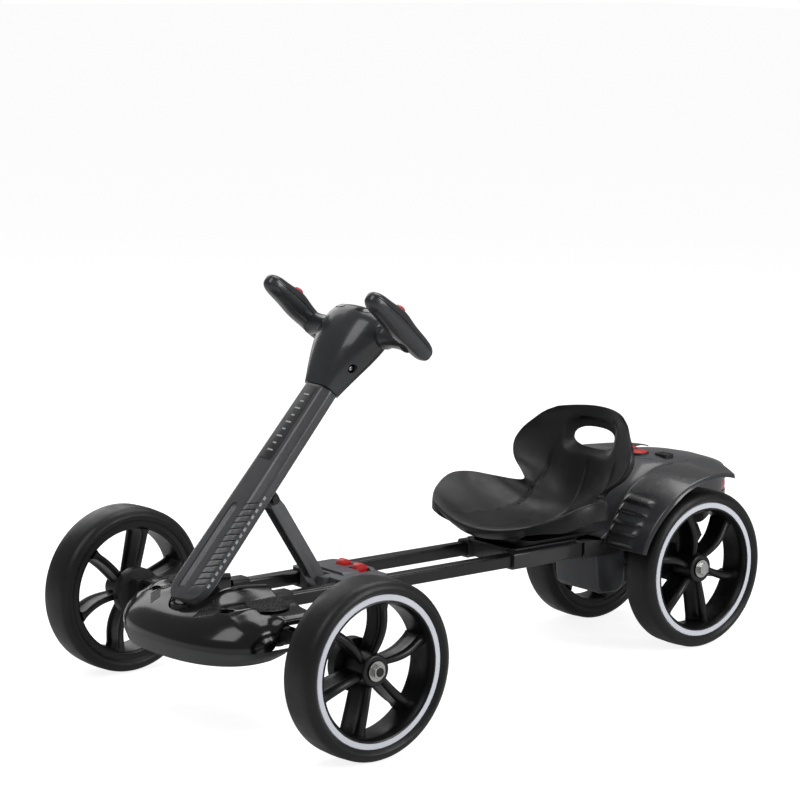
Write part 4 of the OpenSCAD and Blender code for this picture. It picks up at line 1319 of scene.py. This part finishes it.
    def grip_surface(self, side: Side, u: float, v: float, low: float, high: float, grow: float) -> Vector:
        """Place on a grip.

        Args:
            side: which grip.
            u: 0 to 1 round the section.
            v: 0 at the front end, 1 at the rear end.
            low: lower limit of the height in the section, from -1 to 1.
            high: upper limit.
            grow: how far outwards.

        Returns:
            The place.
        """
        reach = self.grip_length / 2
        t = -math.cos(math.pi * v)
        end = (1 - abs(t) ** 7.0) ** (1 / 2.4)
        half = (0.0146 + 0.0008 * math.cos(t * 2.2)) * end + grow * end
        hump = 0.0042 * math.exp(-((t + 0.16) / 0.30) ** 2)
        under = 0.0150 + 0.0026 * math.exp(-(t / 0.35) ** 2)
        x, h = superellipse(math.tau * u, 1.0, 1.0, 2.7)
        tall = (0.0122 + hump) if h > 0 else under
        h = min(max(h, low), high)
        bend = 0.0022 * t * t
        return self.place.at((self.grip_x + x * half) * side.value, self.grip_back + t * reach * 1.0,
                             self.grip_s + h * (tall * end + grow) - bend)

    def grip(self, side: Side) -> None:
        """Makes one grip as two shells with a dark seam between them, and its button."""
        parts = []
        for low, high, grow in ((-1.0, 0.20, 0.0), (0.26, 1.0, 0.0), (0.0, 0.5, -0.0009)):
            def place(u: float, v: float, low: float = low, high: float = high, grow: float = grow) -> Vector:
                """Place on one shell of the grip."""
                return self.grip_surface(side, u, v, low, high, grow)
            parts.append(Bench.sheet("grip_part", 72, 48, place, close=True))
        seam = parts.pop()
        body = Bench.join(f"{side.word}_grip_body", parts)
        Bench.finish(body, HEAD_GREY, "handlebar", "grip_grey", f"{side.word}_grip", angle=40)
        seam.name = f"{side.word}_grip_seam"
        Bench.finish(seam, DARK_GLASS_AND_SHADE, "handlebar", "grip_grey")
        top = self.place.at(self.grip_x * side.value, -0.044, self.grip_s + 0.0148)
        dome = [(0.0, 0.0048), (0.0028, 0.0046), (0.0052, 0.0038), (0.0068, 0.0026), (0.0076, 0.0010),
                (0.0078, -0.0028), (0.0, -0.0028)]
        button = Bench.lathe(f"{side.word}_button_dome", dome, top, 40, 1, self.place.axis)
        Bench.finish(button, SIGNAL_RED, f"{side.word}_thumb", "button_red", f"{side.word}_thumb_button")

    def build(self) -> None:
        """Makes the head, the crossbar and both grips."""
        self.shells()
        self.crossbar()
        for side in Side:
            self.grip(side)


# ---------------------------------------------------------------- rear unit


@dataclass
class RearUnit:
    """Deck with its lid, both mudguards and the controls."""

    base_y: float
    axle: Vector
    half: float = 0.064
    tail_middle: float = 0.816
    tail: float = 0.880
    sill: float = 0.166
    wall: float = 0.003
    guard_radius: float = 0.1370
    # distance behind the front axle, height of the middle line
    line: tuple[tuple[float, ...], ...] = (
        (0.590, 0.168), (0.606, 0.184), (0.630, 0.214), (0.655, 0.239), (0.680, 0.256), (0.705, 0.2655),
        (0.735, 0.2685),
        (0.775, 0.2665), (0.815, 0.2605), (0.845, 0.2525), (0.865, 0.2430), (0.876, 0.2330), (0.880, 0.2240))

    def deck(self, u: float, y: float, lift: float = 0.0) -> Vector:
        """Place on the deck.

        Args:
            u: -1 at the right sill, 1 at the left sill.
            y: distance behind the front axle.
            lift: how far outwards.

        Returns:
            The place.
        """
        half = self.half
        if y > self.tail_middle:
            half *= math.sqrt(max(1 - ((y - self.tail_middle) / (self.tail - self.tail_middle)) ** 2, 0.0))
        half += lift
        top = spline(self.line, y, 1) + lift
        low = min(self.sill + 0.028 * smooth(0.79, 0.84, y), top)
        turn = math.pi / 2 * (1 - u)
        c, s = math.cos(turn), math.sin(turn)
        x = half * math.copysign(abs(c) ** (2 / 9), c)
        z = low + (top - low) * abs(s) ** (2 / 9)
        return Vector((x, y + self.base_y, z - 0.006 * (x / self.half) ** 2 * smooth(low, low + 0.02, z)))

    def deck_sheet(self, name: str, lift: float, wall: float) -> bpy.types.Object:
        """Shell that follows the deck.

        Args:
            name: its name.
            lift: how far outside the deck's surface it lies.
            wall: its thickness, inwards.

        Returns:
            The shell.
        """
        def place(u: float, v: float) -> Vector:
            """Place on the deck from 0 to 1 across it and back along it."""
            bent = math.sin((u - 0.5) * math.pi) * 0.5 + (u - 0.5)
            y = 0.5905 + (self.tail - 0.00005 - 0.5905) * (1 - (1 - v) ** 1.7)
            return self.deck(bent, y, lift)
        piece = Bench.sheet(name, 96, 90, place)
        if sum(f.normal.z * f.area for f in piece.data.polygons) < 0:
            piece.data.flip_normals()
        Bench.thicken(piece, wall, -1)
        return Bench.close(piece)

    def lid_outline(self, grow: float) -> Outline:
        """Plan of the lid: an arched front edge and the tail's curve."""
        half = self.half - 0.0055 + grow
        tail = arc((0, self.tail_middle), (half, self.tail - self.tail_middle - 0.0055 + grow), 0, 180, 28)
        front = arc((0, 0.745), (half * 1.001, 0.043 + grow), 180, 360, 24)
        return [(x, y + self.base_y) for x, y in tail + front[1:-1]]

    def covers(self) -> None:
        """Makes the deck's shell and its lid."""
        upright = lambda a, b, c: Vector((a, b, 0.20 + c))
        shell = self.deck_sheet("deck_shell", 0.0, self.wall)
        Bench.cut(shell, [Bench.slab("lid_hole", self.lid_outline(0.0007), 0.12, upright)])
        groove = Bench.slab("reflector_slot", [(-0.09, 0.838 + self.base_y), (0.09, 0.838 + self.base_y),
                            (0.09, 0.9 + self.base_y), (-0.09, 0.9 + self.base_y)], 0.0166, lambda a, b,
                            c: Vector((a, b, 0.2057 + c)))
        Bench.cut(shell, [groove])
        Bench.bevel(shell, 0.0006, 2, 50)
        Bench.finish(shell, COVER_GREY, "chassis", "cover_grey", "rear_shell", angle=34)
        lid = self.deck_sheet("deck_cover", 0.0002, self.wall)
        Bench.cut(lid, [Bench.slab("lid_keep", self.lid_outline(0.0), 0.12, upright)], keep=True)
        holes = [Bench.slab("hole", [(x + a, y + self.base_y + b) for a,
                                     b in arc((0, 0), (r, r), 0, 350, 35)], 0.1, upright)
                 for x, y, r in ((0.0, 0.722, 0.0146), (-0.034, 0.740, 0.0096))]
        holes.append(Bench.slab("hole", [(0.036 + a, 0.740 + self.base_y + b) for a,
                                         b in racetrack(0.026, 0.020, 0.006)], 0.1, upright))
        Bench.cut(lid, holes)
        Bench.bevel(lid, 0.0006, 2, 50)
        Bench.finish(lid, COVER_GREY, "chassis", "lid_grey", "deck_lid", angle=34)

    def tail_lens(self) -> None:
        """Makes the red band round the tail, with fine upright ribs."""
        def place(u: float, v: float) -> Vector:
            """Place on the lens from 0 to 1 round the tail and up it."""
            turn = math.radians(17 + 146 * u)
            rib = 0.0004 * abs(math.sin(u * 90))
            bulge = 0.0008 * math.sin(math.pi * v)
            a, b = self.half - 0.0012 + bulge - rib, self.tail - self.tail_middle - 0.0012 + bulge - rib
            return Vector((a * math.cos(turn), self.tail_middle + b * math.sin(turn) + self.base_y,
                           0.2065 + 0.015 * v))
        piece = Bench.sheet("tail_lens", 240, 8, place)
        if sum((f.center.y - self.tail_middle - self.base_y) * f.normal.y for f in piece.data.polygons) < 0:
            piece.data.flip_normals()
        Bench.thicken(piece, 0.0018, -1)
        Bench.finish(piece, REFLECTOR_RED, "chassis", "reflector_red", "tail_reflector")

    def guard(self, side: Side) -> None:
        """Makes one mudguard: a crowned arch with ribs low on its front and a rolled outer edge."""
        inner, outer = 0.0625, 0.1460

        def place(u: float, v: float) -> Vector:
            """Place on the mudguard from 0 to 1 across it and round the arch."""
            turn = math.radians(-18 + 91 * v - 9 * (1 - u) * (1 - v) ** 3)
            near = 0.146 + 0.016 * smooth(0.17, 0.0, v) - 0.005 * smooth(0.55, 0.85, v)
            far = self.guard_radius + 0.0055 * smooth(0.4, 0.0, v) - 0.0045 * smooth(0.4, 1.0, v)
            radius = near + (far - near) * u ** 1.5 - 0.0045 * smooth(0.94, 1.0, u) ** 2
            x = inner + (outer - inner) * u - 0.010 * smooth(0.55, 1.0, v) * u
            if v > 0.62:
                phase = (v - 0.62) / 0.36 * 5
                saw = phase % 1.0
                rib = (saw if saw < 0.8 else (1 - saw) / 0.2 * 0.8) * smooth(0.62, 0.66, v)
                radius += 0.0042 * rib * smooth(0.02, 0.10, u) * smooth(0.74, 0.56, u)
            return Vector((x * side.value, self.axle.y - radius * math.sin(turn),
                           self.axle.z + radius * math.cos(turn)))

        piece = Bench.sheet(f"{side.word}_mudguard", 56, 190, place)
        if sum(((f.center.z - self.axle.z) * f.normal.z + (f.center.y - self.axle.y) * f.normal.y) * f.area
               for f in piece.data.polygons) < 0:
            piece.data.flip_normals()
        Bench.thicken(piece, 0.0028, -1)
        Bench.bevel(piece, 0.0009, 2, 55)
        # The mudguard gets the covers' grey darkened as painted shade.
        Bench.finish(piece, GUARD_SHADED_GREY, "chassis", "cover_grey", f"{side.word}_fender", angle=34)

    def controls(self) -> None:
        """Makes both push buttons, their bezels, the charge port's cap and the arrow tile."""
        for name, body, x, y, r, top in (("power", "power_button", 0.0, 0.722, 0.0138, 0.2708),
                                         ("mode", "mode_button", -0.034, 0.740, 0.0088, 0.2698)):
            middle = Vector((x, y + self.base_y, top))
            cap = [(0.0, 0.0), (r * 0.45, -0.0003), (r * 0.62, -0.0002), (r * 0.7, 0.0002),
                   (r * 0.86, -0.0003), (r * 0.96, -0.0014),
                   (r, -0.003), (r, -0.012), (0.0, -0.012)]
            button = Bench.lathe(f"{name}_cap", cap, middle, 48, 1, Vector((0, 0, 1)))
            Bench.finish(button, SIGNAL_RED, body, "button_red", body)
            rim = [(r + 0.0003, -0.006), (r + 0.0003, -0.0012), (r + 0.0010, -0.0004),
                   (r + 0.0022, -0.0008), (r + 0.0026, -0.0022),
                   (r + 0.0026, -0.006)]
            bezel = Bench.lathe(f"{name}_bezel", rim, middle - Vector((0, 0, 0.0012)), 48, 1,
                                Vector((0, 0, 1)))
            Bench.finish(bezel, MATT_BLACK, "chassis", "socket_black")
        port = Bench.node_copy("charge_port", "charge_socket")
        Bench.bevel(port, 0.0005, 2, 40)
        Bench.finish(port, MATT_BLACK, "chassis", "socket_black", "charge_socket")
        middle = Vector((0, 0.697 + self.base_y, 0))
        tile = Bench.slab("arrow_tile", [(0.0075, -0.004), (0.0015, 0.009), (-0.0015, 0.009),
                                         (-0.0075, -0.004)], 0.0007,
                          lambda a, b, c: Vector((a, middle.y - b, spline(self.line, 0.697 - b, 1) + c)))
        Bench.finish(tile, PANEL_GREY, "chassis", "socket_black")

    def build(self) -> None:
        """Makes the rear unit."""
        self.covers()
        self.tail_lens()
        for side in Side:
            self.guard(side)
        self.controls()


# ---------------------------------------------------------------- machined and moulded parts


@dataclass(frozen=True)
class Softened:
    """CAD node shown as a copy with its edges rounded."""

    node: str
    body: str
    finish: Finish
    slot: str
    radius: float

    def build(self) -> None:
        """Makes the copy."""
        piece = Bench.node_copy(f"{self.node}_soft", self.node)
        Bench.bevel(piece, self.radius, 3, 30)
        Bench.finish(piece, self.finish, self.body, self.slot, self.node, angle=32)


def hard_parts() -> list[Softened]:
    """Returns the mechanical parts whose CAD shape is right and whose edges are rounded here."""
    parts = [
        Softened("rails", "chassis", RAIL_BLACK, "rail_black", 0.0008),
        Softened("rail_collars", "chassis", MATT_BLACK, "collar_black", 0.0012),
        Softened("front_crossmember", "chassis", FRAME_BLACK, "frame_black", 0.0008),
        Softened("seat_bracket", "chassis", BRACKET_GREY, "bracket_grey", 0.0016),
        Softened("rear_frame", "chassis", FRAME_BLACK, "frame_black", 0.0007),
        Softened("control_box", "chassis", BOX_GREY, "box_grey", 0.005),
        Softened("battery", "chassis", MATT_BLACK, "battery_black", 0.002),
        Softened("column_tube", "column", FRAME_BLACK, "frame_black", 0.0005),
        Softened("strut", "strut", STRUT_GREY, "strut_grey", 0.0009),
        Softened("slider_block", "slider", SLIDER_GREY, "slider_grey", 0.0016),
        Softened("relay_rod", "relay_rod", FRAME_BLACK, "rod_black", 0.0005),
        Softened("pitman_arm", "pitman", FRAME_BLACK, "rod_black", 0.0005),
    ]
    for side in ("left", "right"):
        parts += [
            Softened(f"{side}_gearmotor", "chassis", MATT_BLACK, "gearmotor_black", 0.0022),
            Softened(f"{side}_latch", f"{side}_latch", SIGNAL_RED, "button_red", 0.0045),
            Softened(f"{side}_arm", f"{side}_arm", FRAME_BLACK, "arm_black", 0.0011),
            Softened(f"{side}_knuckle", f"{side}_knuckle", MATT_BLACK, "knuckle_black", 0.0012),
            Softened(f"{side}_tie_rod", f"{side}_tie_rod", FRAME_BLACK, "rod_black", 0.0004),
        ]
    return parts


def dress_plain_nodes() -> None:
    """Gives the CAD nodes that stay in view their finishes."""
    finishes = {"pivot_pins": ZINC_STEEL, "rear_axle": BRIGHT_STEEL, "rear_hub_nuts": BRIGHT_STEEL,
                "left_hub_nut": BRIGHT_STEEL, "right_hub_nut": BRIGHT_STEEL, "left_kingpin": ZINC_STEEL,
                "right_kingpin": ZINC_STEEL, "steering_shaft": BRIGHT_STEEL, "strut_pivot_bolt": FRAME_BLACK}
    for node, finish in finishes.items():
        for slot in NODES[node].material_slots:
            slot.material = finish.material()


# ---------------------------------------------------------------- studio


@dataclass(frozen=True)
class Studio:
    """Pale floor, soft lights and the camera."""

    eye: tuple[float, float, float] = (2.8523, -2.4733, 1.0076)
    azimuth: float = 49.18
    elevation: float = 9.52
    roll: float = 1.06
    lens: float = 125.0
    shift: tuple[float, float] = (-0.0677, 0.0034)
    ambient: float = 0.2

    def camera(self) -> None:
        """Makes the scene's camera."""
        a, e = math.radians(self.azimuth), math.radians(self.elevation)
        back = Vector((math.sin(a) * math.cos(e), -math.cos(a) * math.cos(e), math.sin(e)))
        data = bpy.data.cameras.new("camera")
        data.lens = self.lens
        data.sensor_width = 36
        data.shift_x, data.shift_y = self.shift
        data.clip_start, data.clip_end = 0.05, 60
        camera = bpy.data.objects.new("camera", data)
        bpy.context.scene.collection.objects.link(camera)
        aim = (-back).to_track_quat("-Z", "Y").to_matrix().to_4x4()
        turn = aim @ Matrix.Rotation(math.radians(self.roll), 4, "Z")
        camera.matrix_world = Matrix.Translation(Vector(self.eye)) @ turn
        bpy.context.scene.camera = camera

    def floor(self) -> None:
        """Makes the floor."""
        Bench.clear()
        bpy.ops.mesh.primitive_plane_add(size=60)
        floor = Bench.named("studio_floor")
        pale = bpy.data.materials.new("studio_floor")
        pale.use_nodes = True
        shader = pale.node_tree.nodes["Principled BSDF"]
        shader.inputs["Base Color"].default_value = (0.5, 0.5, 0.5, 1)
        shader.inputs["Roughness"].default_value = 0.85
        shader.inputs["Emission Color"].default_value = (1, 1, 1, 1)
        seen = pale.node_tree.nodes.new("ShaderNodeLightPath")
        glow = pale.node_tree.nodes.new("ShaderNodeMapRange")
        glow.inputs["To Min"].default_value = 0.12
        glow.inputs["To Max"].default_value = 0.86
        pale.node_tree.links.new(seen.outputs["Is Camera Ray"], glow.inputs["Value"])
        pale.node_tree.links.new(glow.outputs["Result"], shader.inputs["Emission Strength"])
        floor.data.materials.append(pale)

    def sky(self) -> None:
        """Makes the surroundings: white to look at, and dimmer as a light and in reflections."""
        world = bpy.data.worlds.new("studio")
        world.use_nodes = True
        tree = world.node_tree
        seen = tree.nodes.new("ShaderNodeLightPath")
        strength = tree.nodes.new("ShaderNodeMapRange")
        strength.inputs["To Min"].default_value = self.ambient
        strength.inputs["To Max"].default_value = 1.0
        tree.links.new(seen.outputs["Is Camera Ray"], strength.inputs["Value"])
        tree.nodes["Background"].inputs["Color"].default_value = (1, 1, 1, 1)
        tree.links.new(strength.outputs["Result"], tree.nodes["Background"].inputs["Strength"])
        bpy.context.scene.world = world

    def lamp(self, name: str, place: Vector, size: tuple[float, float], power: float) -> None:
        """Adds one soft box aimed at the kart.

        Args:
            name: its name.
            place: where it hangs.
            size: its width and height.
            power: its power in watts.
        """
        data = bpy.data.lights.new(name, "AREA")
        data.shape = "RECTANGLE"
        data.size, data.size_y = size
        data.energy = power
        lamp = bpy.data.objects.new(name, data)
        bpy.context.scene.collection.objects.link(lamp)
        lamp.location = place
        lamp.rotation_euler = (Vector((0, 0, 0.2)) - place).to_track_quat("-Z", "Y").to_euler()

    def build(self) -> None:
        """Makes the whole studio."""
        self.camera()
        self.floor()
        self.sky()
        bpy.context.scene.view_settings.view_transform = "Standard"
        self.lamp("key_box", Vector((0.4, -2.0, 2.6)), (1.8, 1.8), 24)
        self.lamp("side_box", Vector((3.0, 1.2, 1.7)), (1.3, 2.2), 50)
        self.lamp("top_box", Vector((-0.3, 0.9, 2.8)), (2.2, 1.8), 34)
        self.lamp("rim_box", Vector((-2.6, 0.4, 1.5)), (1.8, 2.2), 16)


def joint_named(name: str) -> dict:
    """Returns a joint's record by its name."""
    return next(joint for joint in FRAME["joints"] if joint["name"] == name)


def main() -> None:
    """Builds the studio and every sub-assembly."""
    logging.basicConfig(level=logging.INFO, format="%(name)s: %(message)s")
    Studio().build()
    column = ColumnFrame.from_joint(joint_named("handlebar_turn"), 0.400)
    low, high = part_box("front_left_tyre")
    front_y = (low.y + high.y) / 2
    low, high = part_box("rear_left_tyre")
    rear_axle = Vector((0, (low.y + high.y) / 2, (low.z + high.z) / 2))
    for end, phase in (("front", 12.0), ("rear", 46.0)):
        for side in Side:
            Wheel(f"{end}_{side.word}", f"{end}_{side.word}_wheel", side, phase).build()
    Seat(base_y=front_y).build()
    Fairing(base_y=front_y).build()
    SteeringColumn(column).build()
    Handlebar(column).build()
    RearUnit(base_y=front_y, axle=rear_axle).build()
    for part in hard_parts():
        part.build()
    dress_plain_nodes()
    Bench.clear()


if __name__ == "__main__":
    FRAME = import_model()
    NODES = FRAME["nodes"]
    main()
